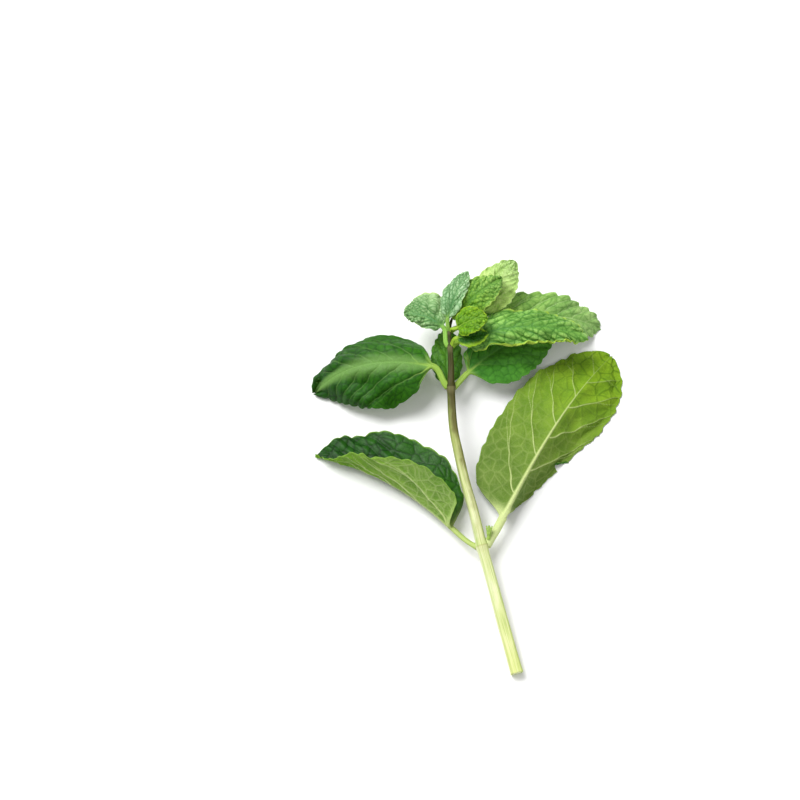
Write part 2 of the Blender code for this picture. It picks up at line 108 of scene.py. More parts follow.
world = bpy.data.worlds.new("bright_room")
world.use_nodes = True
world.node_tree.nodes["Background"].inputs["Color"].default_value = (1.0, 1.0, 1.0, 1.0)
world.node_tree.nodes["Background"].inputs["Strength"].default_value = ROOM_LIGHT
bpy.context.scene.world = world
for lamp_name, (place, watts, side) in LAMPS.items():
    lamp = bpy.data.lights.new(lamp_name, "AREA")
    lamp.energy = watts
    lamp.size = side
    holder = bpy.data.objects.new(lamp_name, lamp)
    holder.location = place
    x, y, z = CAMERA_TARGET - np.array(place)
    tilt, bearing = np.arctan2(np.hypot(x, y), -z), np.arctan2(y, x) - np.pi / 2
    holder.rotation_euler = Euler((tilt, 0.0, bearing))
    bpy.context.scene.collection.objects.link(holder)

lens = bpy.data.cameras.new("camera")
lens.lens = CAMERA_LENS
camera = bpy.data.objects.new("camera", lens)
elevation = np.radians(CAMERA_ELEVATION)
back = np.array([0.0, -np.cos(elevation), np.sin(elevation)])
camera.location = CAMERA_TARGET + back * CAMERA_DISTANCE
camera.rotation_euler = (np.pi / 2 - elevation, 0.0, 0.0)
bpy.context.scene.collection.objects.link(camera)
bpy.context.scene.camera = camera
bpy.context.scene.view_settings.view_transform = "Standard"

# ---------------------------------------------------------------------------------------------------------
# The stem. One square mint stem, cut across at its lower end: four ribs with shallow hollows between them,
# a swelling and a scar line at each node. It is pale green at the cut and dark brown-green at the crown.
# ---------------------------------------------------------------------------------------------------------
MIDDLE = np.array([0.0012, 0.0018, 0.0])  # middle of the outline, in the coordinates of the values below
STEM_LINE = np.array(
    [
        (0.0145, -0.0643, 0.0019),
        (0.0110, -0.0511, 0.0033),
        (0.0075, -0.0374, 0.0048),
        (0.0042, -0.0249, 0.0062),
        (0.0018, -0.0144, 0.0073),
        (-0.0009, -0.0041, 0.0084),
        (-0.0030, 0.0056, 0.0093),
        (-0.0045, 0.0141, 0.0102),
        (-0.0051, 0.0267, 0.0114),
        (-0.0050, 0.0337, 0.0122),
        (-0.0053, 0.0403, 0.0130),
        (-0.0056, 0.0453, 0.0138),
        (-0.0046, 0.0493, 0.0150),
    ]
)
STEM_RADIUS = 0.001 * np.array([2.15, 2.1, 2.0, 1.9, 1.8, 1.75, 1.7, 1.6, 1.4, 1.1, 0.9, 0.7, 0.45])
NODES = {1: 3, 2: 8, 3: 10, 4: 11, 5: 12}  # which point of the stem each node is, from the cut end
NODE_LENGTH = 0.0014
SCAR_WIDTH = 0.00044
COLLAR_LENGTH = 0.0030  # how far the tint on each side of a node reaches
FLARE_LENGTH = 0.0012  # of the cut end's slight widening
UNEVEN_LENGTH, UNEVEN_AROUND = 0.012, 0.4  # one swell along the stem, and how many to a radian round it
WANDER_LENGTH, WANDER = 0.004, 1.5  # of the fine ribs, with the swing in radians
STEM_RINGS = 660
STEM_SIDES = 72
CUT_RINGS = 14
NODE_SWELLING = 0.14  # this and the next ten are shares of the radius
SCAR_HEIGHT = 0.03
RIB_HEIGHT = 0.12
HOLLOW_DEPTH = 0.0275
UNEVENNESS = 0.012
FINE_RIB_HEIGHT = 0.006
FLARE = 0.05
PITH_SHARE = 0.62
CUT_MIDDLE = 0.02  # where the cut face's innermost ring is
BEVEL_START = 0.8
CUT_EDGE = 0.9  # from here out the face's colour turns into the skin's
RIB_SHARPNESS = 1.5
RIBS_LOST = 0.7  # at a node
FINE_RIBS = 22
PITH_DEPTH = 0.00022
BEVEL_DEPTH = 0.00012  # at the edge of the cut face
CUT_ROUGHNESS = 0.00006
CUT_SWELLS = (5, 1.3)  # of that roughness, out from the middle and to a radian round it


def unit(vectors):
    """The vectors of length 1 with these directions."""
    return vectors / np.linalg.norm(vectors, axis=-1, keepdims=True)


def direction(bearing, rise):
    """The unit vector of a compass bearing, 0 along +Y and 90 along +X, and a rise above the table."""
    bearing, rise = np.radians(bearing), np.radians(rise)
    level = np.cos(rise)
    return np.stack([np.sin(bearing) * level, np.cos(bearing) * level, np.sin(rise)], axis=-1)


def smooth_line(points, steps):
    """Points on the Catmull-Rom curve through the given ones; a step of 1 is one stretch."""
    ends = 2 * points[[0, -1]] - points[[1, -2]]
    padded = np.vstack([ends[:1], points, ends[1:]])
    first = np.clip(np.floor(steps).astype(int), 0, len(points) - 2)
    t = (steps - first)[:, None]
    before, start, end, after = (padded[first + k] for k in range(4))
    bend = 2 * before - 5 * start + 4 * end - after
    twist = 3 * (start - end) + after - before
    return 0.5 * (2 * start + (end - before) * t + bend * t**2 + twist * t**3)


def sides_of(line, roll):
    """The unit vectors to the right of a line and upwards from it, turned about it by the roll."""
    ahead = unit(np.gradient(line, axis=0))
    level = unit(np.stack([ahead[:, 1], -ahead[:, 0], np.zeros(len(ahead))], axis=-1))
    turn = np.radians(roll)[:, None]
    right = level * np.cos(turn) + np.cross(level, ahead) * np.sin(turn)
    return right, np.cross(right, ahead)


def bell(distance, width):
    """1 on a line and 0 from its width on: one less the squared share of the width, squared again."""
    return np.clip(1 - (distance / width) ** 2, 0, 1) ** 2


def hill(distance, width):
    """1 at no distance, and e to the power of minus the squared share of the width away from there."""
    return np.exp(-((distance / width) ** 2))


def ease(value, low, high):
    """0 below low, 1 above high, and the cubic with level ends between them."""
    share = np.clip((value - low) / (high - low), 0, 1)
    return share * share * (3 - 2 * share)


def ripple(first, second, seed, waves=5):
    """A smooth random field, mostly from -1 to 1.

    It is the sum of sine waves about 1 long in seeded directions, over the root of how many they are.
    """
    draw = np.random.default_rng(seed)
    turn = draw.uniform(0, 2 * np.pi, waves)
    pace = 2 * np.pi * draw.uniform(0.6, 1.5, waves)
    phase = draw.uniform(0, 2 * np.pi, waves)
    total = sum(
        np.sin(pace[k] * (first * np.cos(turn[k]) + second * np.sin(turn[k])) + phase[k])
        for k in range(waves)
    )
    return total / np.sqrt(waves)


def skin(name, points, faces, **fields):
    """A smooth mesh object of four-sided faces, with one attribute of numbers or vectors for each field."""
    mesh = bpy.data.meshes.new(name)
    mesh.vertices.add(len(points))
    mesh.vertices.foreach_set("co", (points - MIDDLE).astype(np.float32).ravel())
    mesh.loops.add(faces.size)
    mesh.loops.foreach_set("vertex_index", faces.astype(np.int32).ravel())
    mesh.polygons.add(len(faces))
    mesh.polygons.foreach_set("loop_start", np.arange(0, faces.size, 4, dtype=np.int32))
    mesh.update(calc_edges=True)
    mesh.shade_smooth()
    for field, values in fields.items():
        kind, slot = ("FLOAT", "value") if values.ndim == 1 else ("FLOAT_VECTOR", "vector")
        layer = mesh.attributes.new(field, kind, "POINT")
        layer.data.foreach_set(slot, values.astype(np.float32).ravel())
    made = bpy.data.objects.new(name, mesh)
    bpy.context.scene.collection.objects.link(made)
    return made


def stem_points():
    """The stem as rings of points from the middle of the cut face, out to its edge and up to the tip.

    A ring's radius is the stem's, made larger at the nodes and at the four ribs, smaller in the hollows
    between them, and roughened by a slow ripple and by fine ribs. The cut face is the first ring drawn in
    towards its middle. Each ring has its travel in mm, its share of a scar and its place in a collar, from
    -1 below a node to 1 above it, and then whether it is cut and its way out from the middle of the cut.
    """
    steps = np.linspace(0, len(STEM_LINE) - 1, STEM_RINGS)
    line = smooth_line(STEM_LINE, steps)
    radius = np.interp(steps, np.arange(len(STEM_LINE)), STEM_RADIUS)
    scar, swelling, collar = np.zeros((3, STEM_RINGS))
    for index in list(NODES.values())[:-1]:
        distance = np.linalg.norm(line - STEM_LINE[index], axis=1)
        swelling += hill(distance, NODE_LENGTH)
        scar = np.maximum(scar, bell(distance, SCAR_WIDTH))
        collar += np.where(steps > index, 1, -1) * hill(distance, COLLAR_LENGTH)
    radius = radius * (1 + NODE_SWELLING * swelling + SCAR_HEIGHT * scar)
    travelled = np.concatenate([[0], np.cumsum(np.linalg.norm(np.diff(line, axis=0), axis=1))])
    right, up = sides_of(line, np.zeros(STEM_RINGS))
    angle = np.arange(STEM_SIDES) * 2 * np.pi / STEM_SIDES
    corner = (1 - np.cos(4 * angle)) / 2
    rib = RIB_HEIGHT * (corner**RIB_SHARPNESS - 1) - HOLLOW_DEPTH * np.cos(4 * angle).clip(0) ** 2
    uneven = UNEVENNESS * ripple(travelled[:, None] / UNEVEN_LENGTH, angle[None, :] * UNEVEN_AROUND, 3)
    wander = WANDER * np.sin(travelled[:, None] / WANDER_LENGTH)
    fine = FINE_RIB_HEIGHT * np.cos(angle * FINE_RIBS + wander)
    flare = FLARE * np.exp(-travelled / FLARE_LENGTH)
    kept = 1 - RIBS_LOST * swelling[:, None].clip(0, 1)
    reach = radius[:, None] * (1 + rib * kept + uneven + fine)
    reach = reach * (1 + flare[:, None])
    spokes = np.cos(angle)[:, None] * right[:, None] + np.sin(angle)[:, None] * up[:, None]
    walls = line[:, None] + reach[..., None] * spokes
    inward = np.linspace(CUT_MIDDLE, 1, CUT_RINGS, endpoint=False)
    hollow = PITH_DEPTH * np.clip(1 - (inward / PITH_SHARE) ** 2, 0, 1)
    hollow = hollow - BEVEL_DEPTH * ease(inward, BEVEL_START, 1.0)
    swells_out, swells_around = CUT_SWELLS
    rough = CUT_ROUGHNESS * ripple(inward[:, None] * swells_out, angle[None, :] * swells_around, 5)
    along = unit(line[1] - line[0])
    face = line[0] + inward[:, None, None] * (walls[0] - line[0])
    face = face + along * (hollow[:, None] + rough)[..., None]
    rings = np.vstack([face, walls])
    rings[..., 2] = np.maximum(rings[..., 2], 0)
    face_zeros, wall_zeros = np.zeros(CUT_RINGS), np.zeros(STEM_RINGS)
    course = [(face_zeros, values) for values in (travelled * 1000, scar, collar.clip(-1, 1))]
    cut = [(1 - ease(inward, CUT_EDGE, 1.0), wall_zeros), (inward, wall_zeros + 1), (face_zeros, wall_zeros)]
    return rings, *(np.stack([np.concatenate(pair) for pair in field], axis=-1) for field in (course, cut))


def closed_rings(rings):
    """The numbers of the points of closed rings, and the four-sided faces between each two rings."""
    index = np.arange(rings.shape[0] * rings.shape[1]).reshape(rings.shape[:2])
    beside = np.roll(index, -1, axis=1)
    walls = np.stack([index[1:], beside[1:], beside[:-1], index[:-1]], axis=-1).reshape(-1, 4)
    return index, walls


def ring_caps(ring):
    """Four-sided faces that fill a ring of an even number of points, as rungs between its two halves."""
    half = len(ring) // 2
    first, second = ring[:half], ring[half:][::-1]
    return np.stack([first[:-1], first[1:], second[1:], second[:-1]], axis=-1)


rings, stem_course, stem_cut = stem_points()
index, stem_faces = closed_rings(rings)
stem_faces = np.vstack([stem_faces, ring_caps(index[0]), ring_caps(index[-1])[:, ::-1]])
stem = skin(
    "mint_stem",
    rings.reshape(-1, 3),
    stem_faces,
    course=np.repeat(stem_course, STEM_SIDES, axis=0),
    cut=np.repeat(stem_cut, STEM_SIDES, axis=0),
    around=np.tile(np.arange(STEM_SIDES) / STEM_SIDES, len(rings)),
)


def colour(red, green, blue):
    """The linear colour of a paint given by its 0 to 255 values."""
    share = np.array([red, green, blue]) / 255
    linear = np.where(share <= 0.04045, share / 12.92, ((share + 0.055) / 1.055) ** 2.4)
    return (*linear.tolist(), 1.0)


def mixed(tree, factor, first, second, blend="MIX"):
    """The output of a Mix node for two colours."""
    node = put(tree, "ShaderNodeMix", {"data_type": "RGBA", "blend_type": blend})
    for place, value in zip((0, 6, 7), (factor, first, second)):
        give(tree, node.inputs[place], value)
    return node.outputs[2]


def maths(tree, operation, first, second=0.0):
    """The output of a Math node."""
    node = put(tree, "ShaderNodeMath", {"operation": operation})
    give(tree, node.inputs[0], first)
    give(tree, node.inputs[1], second)
    return node.outputs[0]


def times(tree, first, second):
    """The product of two numbers."""
    return maths(tree, "MULTIPLY", first, second)


def plus(tree, first, second):
    """The sum of two numbers."""
    return maths(tree, "ADD", first, second)


def ranged(tree, value, low, high, to_low=0.0, to_high=1.0):
    """A value eased from one range into another."""
    limits = dict(From_Min=low, From_Max=high, To_Min=to_low, To_Max=to_high)
    node = put(tree, "ShaderNodeMapRange", {"interpolation_type": "SMOOTHSTEP"}, Value=value, **limits)
    return node.outputs["Result"]


def attribute(tree, name, output="Vector"):
    """What an attribute of the mesh says, as a vector or as one number."""
    return put(tree, "ShaderNodeAttribute", {"attribute_name": name}).outputs[output]


def attribute_parts(tree, name):
    """The three numbers of a vector attribute."""
    return put(tree, "ShaderNodeSeparateXYZ", Vector=attribute(tree, name)).outputs


def ramp(tree, value, low, high, stops):
    """The colour at a value between low and high, from a row of (value, colour) stops."""
    share = put(tree, "ShaderNodeMapRange", Value=value, From_Min=low, From_Max=high).outputs["Result"]
    node = put(tree, "ShaderNodeValToRGB", Fac=share)
    elements = node.color_ramp.elements
    for place, shade in stops[1:-1]:
        elements.new((place - low) / (high - low)).color = shade
    elements[0].color = stops[0][1]
    elements[-1].color = stops[-1][1]
    return node.outputs["Color"]


def tinted(tree, amount, shade, tint):
    """A colour multiplied by a tint where the amount is 1, and left alone where it is 0."""
    return mixed(tree, amount, shade, tint, "MULTIPLY")


GREEN_SIDE = (  # travel in mm, colour
    (0.0, colour(212, 214, 148)),
    (28.0, colour(212, 216, 174)),
    (46.0, colour(212, 216, 174)),
    (60.0, colour(194, 200, 142)),
    (76.0, colour(158, 166, 98)),
    (88.0, colour(98, 104, 44)),
    (98.0, colour(72, 84, 24)),
    (118.0, colour(62, 82, 20)),
)
BROWN_SIDE = (
    (0.0, colour(200, 208, 130)),
    (30.0, colour(200, 208, 150)),
    (46.0, colour(192, 196, 142)),
    (66.0, colour(128, 128, 74)),
    (80.0, colour(98, 96, 50)),
    (92.0, colour(64, 60, 22)),
    (118.0, colour(48, 52, 12)),
)
CUT_FACE = (  # way out from its middle, colour
    (0.0, colour(222, 224, 180)),
    (PITH_SHARE, colour(230, 232, 198)),
    (0.8, colour(170, 192, 100)),
    (1.0, colour(204, 216, 140)),
)
STEM_END = 118.0  # mm
BROWN_TURN = 0.09  # how far above the right-hand side the brown is deepest, as a share of a turn
STREAKS_AROUND = 44.0
STREAKS_PER_MM = 0.10
stem_material, tree = new_material("stem_skin")
travel, scar_mark, collar_mark = attribute_parts(tree, "course")
cut_mark, radial_mark, _ = attribute_parts(tree, "cut")
turn_share = attribute(tree, "around", "Fac")
coordinates = put(tree, "ShaderNodeTexCoord").outputs["Object"]
streak_place = dict(X=times(tree, turn_share, STREAKS_AROUND), Y=times(tree, travel, STREAKS_PER_MM))
lengthwise = put(tree, "ShaderNodeCombineXYZ", **streak_place).outputs["Vector"]
streaks = noise(tree, lengthwise, 1.0, 4.0)
patches = noise(tree, coordinates, 110.0, 3.0)
grain = noise(tree, coordinates, 3200.0, 2.0)
brown_turn = times(tree, maths(tree, "SUBTRACT", turn_share, BROWN_TURN), 2 * np.pi)
brown_share = plus(tree, maths(tree, "COSINE", brown_turn), ranged(tree, patches, 0.35, 0.65, -0.5, 0.5))
brown_share = plus(tree, brown_share, ranged(tree, travel, 84.0, 100.0, -0.2, 1.2))
green = ramp(tree, travel, 0.0, STEM_END, GREEN_SIDE)
brown = ramp(tree, travel, 0.0, STEM_END, BROWN_SIDE)
skin_colour = mixed(tree, ranged(tree, brown_share, -0.35, 0.75), green, brown)
skin_colour = tinted(tree, ranged(tree, streaks, 0.50, 0.72, 0.0, 0.75), skin_colour, colour(196, 214, 168))
pale_share = ranged(tree, travel, 50.0, 90.0, 0.34, 0.05)
pale_share = times(tree, ranged(tree, streaks, 0.48, 0.28), pale_share)
skin_colour = mixed(tree, pale_share, skin_colour, colour(246, 246, 214))
rib_mark = ranged(tree, maths(tree, "COSINE", times(tree, turn_share, 8 * np.pi)), -0.5, -1.0)
skin_colour = tinted(tree, times(tree, rib_mark, 0.6), skin_colour, colour(206, 222, 170))
above_node = ranged(tree, collar_mark, 0.3, 1.0, 0.0, 0.35)
below_node = ranged(tree, collar_mark, -0.3, -1.0, 0.0, 0.10)
skin_colour = tinted(tree, above_node, skin_colour, colour(206, 228, 150))
skin_colour = mixed(tree, below_node, skin_colour, colour(222, 218, 160))
skin_colour = tinted(tree, times(tree, scar_mark, 0.4), skin_colour, colour(196, 182, 146))
pith = ramp(tree, radial_mark, 0.0, 1.0, CUT_FACE)
skin_colour = mixed(tree, cut_mark, skin_colour, pith)
stem_height = plus(tree, times(tree, streaks, 0.8), times(tree, grain, 0.3))
stem_bump = put(tree, "ShaderNodeBump", Strength=0.6, Distance=0.00016, Height=stem_height)
stem_shader = put(
    tree,
    "ShaderNodeBsdfPrincipled",
    Base_Color=skin_colour,
    Roughness=ranged(tree, patches, 0.3, 0.7, 0.44, 0.56),
    Specular_IOR_Level=0.14,
    Normal=stem_bump.outputs["Normal"],
    Subsurface_Weight=0.12,
    Subsurface_Radius=(0.8, 1.0, 0.35),
    Subsurface_Scale=0.0008,
)
put(tree, "ShaderNodeOutputMaterial", Surface=stem_shader.outputs["BSDF"])
stem.data.materials.append(stem_material)
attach(stem, "root")
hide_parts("stem")

# ---------------------------------------------------------------------------------------------------------
# The leaves. Each is one thin blade on a round petiole, grown from the stem in opposite pairs: the midrib
# and the side veins stand out below and are sunk above, and a net of small veins quilts the blade between
# them. The margin is toothed. Bearings, rises and rolls turn a leaf as it grew or fell.
# ---------------------------------------------------------------------------------------------------------
BLADE_THICKNESS = 0.00034
RIM_THICKNESS = 0.00016
LOWEST = 0.00035  # the height of a blade's middle where it lies on the table
CLEARANCE = 0.00003  # the least height of its points above the table
FOLD_RADIUS = 0.0012  # how sharply a blade's halves turn up or down beside the midrib
FOLD_START, FOLD_END = -0.02, 0.05  # shares of the length between which the halves take their fold
BLADE_START, BLADE_END = -0.03, 0.07  # and between which the round petiole turns into a flat blade
TIP_HALF_WIDTH = 0.00025
BASE_SHARE, TIP_SHARE = 0.012, 0.97  # the stretch of the outline curve that a blade has
POINT_START, POINT_SHARE = 0.90, 0.9985  # a blade's last stretch runs on along that curve, to a point
TOOTH_PEAK = 0.7  # where a tooth is highest, as a share of its length: the teeth point forward
TOOTH_DEPTH = 0.18  # of a tooth's length
TOOTH_BACK, TOOTH_FRONT = 1.5, 0.8  # the powers that round a tooth's two sides
SWEEP, SWEEP_POWER = 0.45, 1.3  # how far the rows of points lean towards the tip, on their way out
TEAR_SHARE, TEAR_POWER = 0.03, 0.7  # half of a tear's width, as a share of the leaf's length, and its shape
WAVE_START = 0.2  # the share of the length from which the margin's waves have their full height
WAVE_SHIFT = 1.7  # how far the right margin's wave is ahead of the left one's, in radians
CRIMP_SHARE = 0.10  # of a wave's height: how far the teeth stand out of the blade
SWELL_START, SWELL_END = 0.05, 0.4  # shares of the half width between which the uneven swells set in
ROLL_START, ROLL_END = 0.66, 0.95  # shares of the half width between which a rolled margin turns up
BEND_STEPS = 16
LINE_STEPS = 200
PETIOLE_STEPS = 60
PETIOLE_EASE = 0.35  # how much of the petiole is spent on turning out of the stem and into the blade
PETIOLE_LEAN = 0.8
PETIOLE_SWELLING, PETIOLE_SWELLING_LENGTH = 0.25, 0.16  # at the stem, as shares of its radius and length
ROOT_DEPTH = 0.7  # how far from the stem's middle a petiole starts, as a share of the stem's radius
PETIOLE_ROWS = 26
ROW_STEP = 0.00027
COLUMN_STEP = 0.00024
SMALL_LENGTH = 0.025
SMALL_STEP_SHARE = 0.62  # small leaves have finer steps
ROUND_ANGLE = 86  # degrees round the petiole that each face goes from its middle
VEIN_SWEEP = (1.0, 0.9)  # how far a side vein runs ahead for each step out at the midrib, and what is added
VEIN_WAVER, WAVER_STRETCH = 0.005, 20  # of the leaf's length, and how often that fits into one swing
VEIN_STRETCH, VEIN_CROWDING = 0.95, 0.85  # the share of the midrib with side veins, and their power law
RIGHT_VEIN_SHIFT = 0.42  # of a gap: the right half's side veins leave the midrib so much later
FORK_OUT, FORK_SPREAD = 0.45, 0.20  # the share of the half width where a side vein forks, and how widely
FORK_SHARE = 0.7  # the strength and the width of the fork's second arm, as shares of the first one's
TAPER_OUT, TAPER_AHEAD = 0.6, 0.45  # how much narrower the side veins get up to the margin and to the tip
PANEL_SHOULDER, PANEL_POWER = 0.17, 1.3  # how soon the panels rise, as a share of the side veins' spacing
CELL_SHOULDER, CELL_POWER = 0.22, 1.2  # and the cells, as a share of their size
MIDRIB_SHOULDER = 0.13  # and both beside the midrib, as a share of the half width
NET_ROW_STEP, NET_CELL_STEP = 1.4, 0.9  # from row to row ahead and cell to cell outwards, in cell sizes
NET_STRAY_OUT, NET_STRAY_AHEAD = 0.3, 0.28  # how far a cell's middle strays, in cell sizes
NET_BEFORE, NET_BEYOND = 0.13, (1.08, 1.25)  # the gap before the first side vein, and the last two places
MIDRIB_END, MIDRIB_TAPER, MIDRIB_LEAST = 0.93, 1.1, 0.10  # it narrows by a power, down to its least share
CHANNEL, CHANNEL_WIDTH = 0.35, 0.5  # how deep the hollow along a petiole's upper side is, and how wide
GROOVE_TAPER = 0.6  # how much shallower the groove over the midrib is at the tip
MARGIN_FADE = 0.9  # the share of the half width from which the veins' colours fade out
PLAN_STEP = 0.05  # how far apart the flat leaves lie, so that no two have the same fine pattern
LARGEST_LENGTH = 0.069  # the next seven values, in metres, are for a leaf this long
VEIN_WIDTH = 0.00034
GROOVE_WIDTH = 0.0007  # of the midrib, seen from above
RAISED_VEIN, RAISED_NET = 0.00030, 0.00006
SUNK_MIDRIB, SUNK_VEIN, SUNK_NET = 0.00045, 0.00016, 0.00007
NET_WIDTH, NET_SHARE = 0.00040, 0.13  # a net vein's half width: at most so much, or that share of a cell
MINT_OUTLINE = ((0.55, 0.75), (0.55, 0.75))

# node, start: the stem's node that a leaf grows from, and where its blade begins. bearing, rise: its course
# at base, middle and tip. roll: its turn about that course at base and tip. Where there is a value for each
# half, the left one's comes first. folds: how steeply a half leaves the midrib, at base and tip. curls: how
# far it turns on up to its margin. wave: the height, count and phase of its waves. outlines: its two powers.
# veins: side veins in each half. net: the size of the cells between them. quilt: how high the panels between
# side veins and the cells of the net bulge. crumple: the height and length of the blade's uneven swells.
# sweep, vein_width, and tooth for the depth and the peak of a tooth: where they aren't the usual ones.
# rolled: how far each half's margin turns up, in degrees. torn: whether a tear is in the left half, its place
# and its depth.
LEAVES = {
    "leaf_1_right": dict(
        node=1, start=(0.0111, -0.0152, 0.0060), bearing=(28, 32, 41), rise=(8, -4, -20), roll=(180, 178),
        length=0.069, half_widths=(0.0155, 0.0185), folds=((70, -5), (12, 4)), curls=(10, 10),
        wave=(0.0009, 2.5, 0.4), outlines=((0.85, 0.60), (0.36, 0.56)), teeth=14, petiole_radius=0.0011,
        veins=5, net=0.0034, quilt=(0.00085, 0.00020), crumple=(0.00045, 0.016), tooth=(0.12, 0.75),
        torn=(True, 0.29, 0.0042),
    ),
    "leaf_1_left": dict(
        node=1, start=(-0.0051, -0.0183, 0.0045), bearing=(-45, -60, -74), rise=(2, -4, -9),
        roll=(-54, -38), length=0.051, half_widths=(0.0150, 0.0170), folds=((66, 30), (52, 30)),
        curls=(14, 0), wave=(0.0007, 3, 2.0), outlines=((0.50, 1.05), (0.55, 0.75)), teeth=12,
        petiole_radius=0.0008, sweep=(1.8, 1.2), vein_width=0.00045,
        veins=5, net=0.0028, quilt=(0.00080, 0.00015), crumple=(0.00040, 0.012),
    ),
    "leaf_2_left": dict(
        node=2, start=(-0.0112, 0.0333, 0.0132), bearing=(-80, -97, -120), rise=(6, -14, -60), roll=(4, 0),
        length=0.043, half_widths=(0.0150, 0.0130), folds=((-6, -6), (-4, -4)), curls=(-40, -50),
        wave=(0.0008, 3, 1.0), outlines=MINT_OUTLINE, teeth=12, petiole_radius=0.00075,
        veins=6, net=0.0024, quilt=(0.00062, 0.00007), crumple=(0.00080, 0.013), tooth=(0.12, 0.7),
    ),
    "leaf_2_right": dict(
        node=2, start=(0.0005, 0.0329, 0.0085), bearing=(46, 56, 66), rise=(0, -10, -15), roll=(0, 0),
        length=0.036, half_widths=(0.0080, 0.0120), folds=((5, 5), (5, 5)), curls=(-10, -25),
        wave=(0.0006, 2.5, 0.0), outlines=MINT_OUTLINE, teeth=10, petiole_radius=0.0007,
        veins=5, net=0.0025, quilt=(0.00050, 0.00008), crumple=(0.00030, 0.012),
    ),
    "leaf_2_axil": dict(
        node=2, start=(-0.0056, 0.0296, 0.0064), bearing=(-8, 0, 8), rise=(2, 0, 0), roll=(0, 0),
        length=0.020, half_widths=(0.0050, 0.0050), folds=((5, 5), (5, 5)), curls=(-10, -10),
        wave=(0.0004, 2, 0.5), outlines=MINT_OUTLINE, teeth=7, petiole_radius=0.0005,
        veins=4, net=0.0018, quilt=(0.00035, 0.00008), crumple=(0.00020, 0.006),
    ),
    "leaf_3_right": dict(
        node=3, start=(-0.0021, 0.0420, 0.0136), bearing=(80, 88, 112), rise=(28, 2, -22), roll=(0, -5),
        length=0.043, half_widths=(0.0090, 0.0074), folds=((-14, -10), (-14, -20)), curls=(-45, -50),
        wave=(0.0006, 3.5, 2.5), outlines=MINT_OUTLINE, teeth=12, petiole_radius=0.0007, rolled=(0, 150),
        veins=8, net=0.0022, quilt=(0.00085, 0.00009), crumple=(0.00060, 0.007), sweep=(1.7, 0.9),
    ),
    "leaf_3_left": dict(
        node=3, start=(-0.0077, 0.0465, 0.0146), bearing=(-55, -70, -80), rise=(22, 0, -38), roll=(10, 0),
        length=0.014, half_widths=(0.0034, 0.0088), folds=((0, 0), (0, 0)), curls=(-30, -20),
        wave=(0.0005, 2, 1.0), outlines=MINT_OUTLINE, teeth=7, petiole_radius=0.0005,
        veins=6, net=0.0016, quilt=(0.00058, 0.00004), crumple=(0.00040, 0.004), sweep=(1.6, 1.0),
    ),
    "leaf_4_left": dict(
        node=4, start=(-0.0060, 0.0484, 0.0170), bearing=(16, 24, 34), rise=(40, 15, -10), roll=(0, 0),
        length=0.017, half_widths=(0.0050, 0.0035), folds=((-20, -20), (30, 10)), curls=(-30, 0),
        wave=(0.0004, 2, 3.0), outlines=MINT_OUTLINE, teeth=7, petiole_radius=0.0004,
        veins=6, net=0.0014, quilt=(0.00042, 0.00004), crumple=(0.00035, 0.004), sweep=(1.8, 0.8),
    ),
    "leaf_4_right": dict(
        node=4, start=(0.0040, 0.0495, 0.0100), bearing=(78, 86, 100), rise=(2, -10, -48), roll=(0, 0),
        length=0.044, half_widths=(0.0085, 0.0090), folds=((5, 5), (5, 5)), curls=(-10, -20),
        wave=(0.0006, 3, 4.0), outlines=MINT_OUTLINE, teeth=10, petiole_radius=0.0006, tooth=(0.24, 0.8),
        veins=7, net=0.0022, quilt=(0.00060, 0.00012), crumple=(0.00030, 0.010),
    ),
    "leaf_5_back": dict(
        node=5, start=(0.0042, 0.0512, 0.0155), bearing=(28, 36, 42), rise=(16, 12, 6), roll=(178, 182),
        length=0.0205, half_widths=(0.0072, 0.0072), folds=((10, 10), (10, 10)), curls=(10, 10),
        wave=(0.0006, 2.5, 1.5), outlines=MINT_OUTLINE, teeth=8, petiole_radius=0.00045,
        veins=6, net=0.0015, quilt=(0.00034, 0.00010), crumple=(0.00040, 0.004),
    ),
    "leaf_5_front": dict(
        node=5, start=(-0.0018, 0.0508, 0.0186), bearing=(48, 54, 60), rise=(30, 10, -12), roll=(0, 0),
        length=0.017, half_widths=(0.0055, 0.0055), folds=((5, 5), (5, 5)), curls=(-30, -30),
        wave=(0.0004, 2.5, 0.0), outlines=MINT_OUTLINE, teeth=7, petiole_radius=0.00035,
        veins=6, net=0.0012, quilt=(0.00032, 0.00010), crumple=(0.00040, 0.004),
    ),
    "leaf_6_right": dict(
        node=4, start=(-0.0030, 0.0445, 0.0184), bearing=(75, 82, 95), rise=(50, 25, -15), roll=(0, 0),
        length=0.0110, half_widths=(0.0048, 0.0048), folds=((10, 10), (20, 20)), curls=(-20, -30),
        wave=(0.0004, 2, 2.0), outlines=MINT_OUTLINE, teeth=6, petiole_radius=0.00032,
        veins=5, net=0.0012, quilt=(0.00034, 0.00012), crumple=(0.00034, 0.003),
    ),
    "leaf_6_front": dict(
        node=3, start=(-0.0030, 0.0416, 0.0168), bearing=(92, 86, 80), rise=(14, 10, 6), roll=(0, 0),
        length=0.010, half_widths=(0.0030, 0.0036), folds=((32, 32), (5, 15)), curls=(12, -20),
        wave=(0.0003, 2, 0.0), outlines=MINT_OUTLINE, teeth=6, petiole_radius=0.00035,
        veins=4, net=0.0010, quilt=(0.00025, 0.00010), crumple=(0.00020, 0.003),
    ),
}


def through(values, share):
    """The parabola with these three values at shares 0, 0.5 and 1."""
    first, middle, last = values
    straight = first + (last - first) * share
    return straight + (4 * middle - 2 * first - 2 * last) * share * (1 - share)


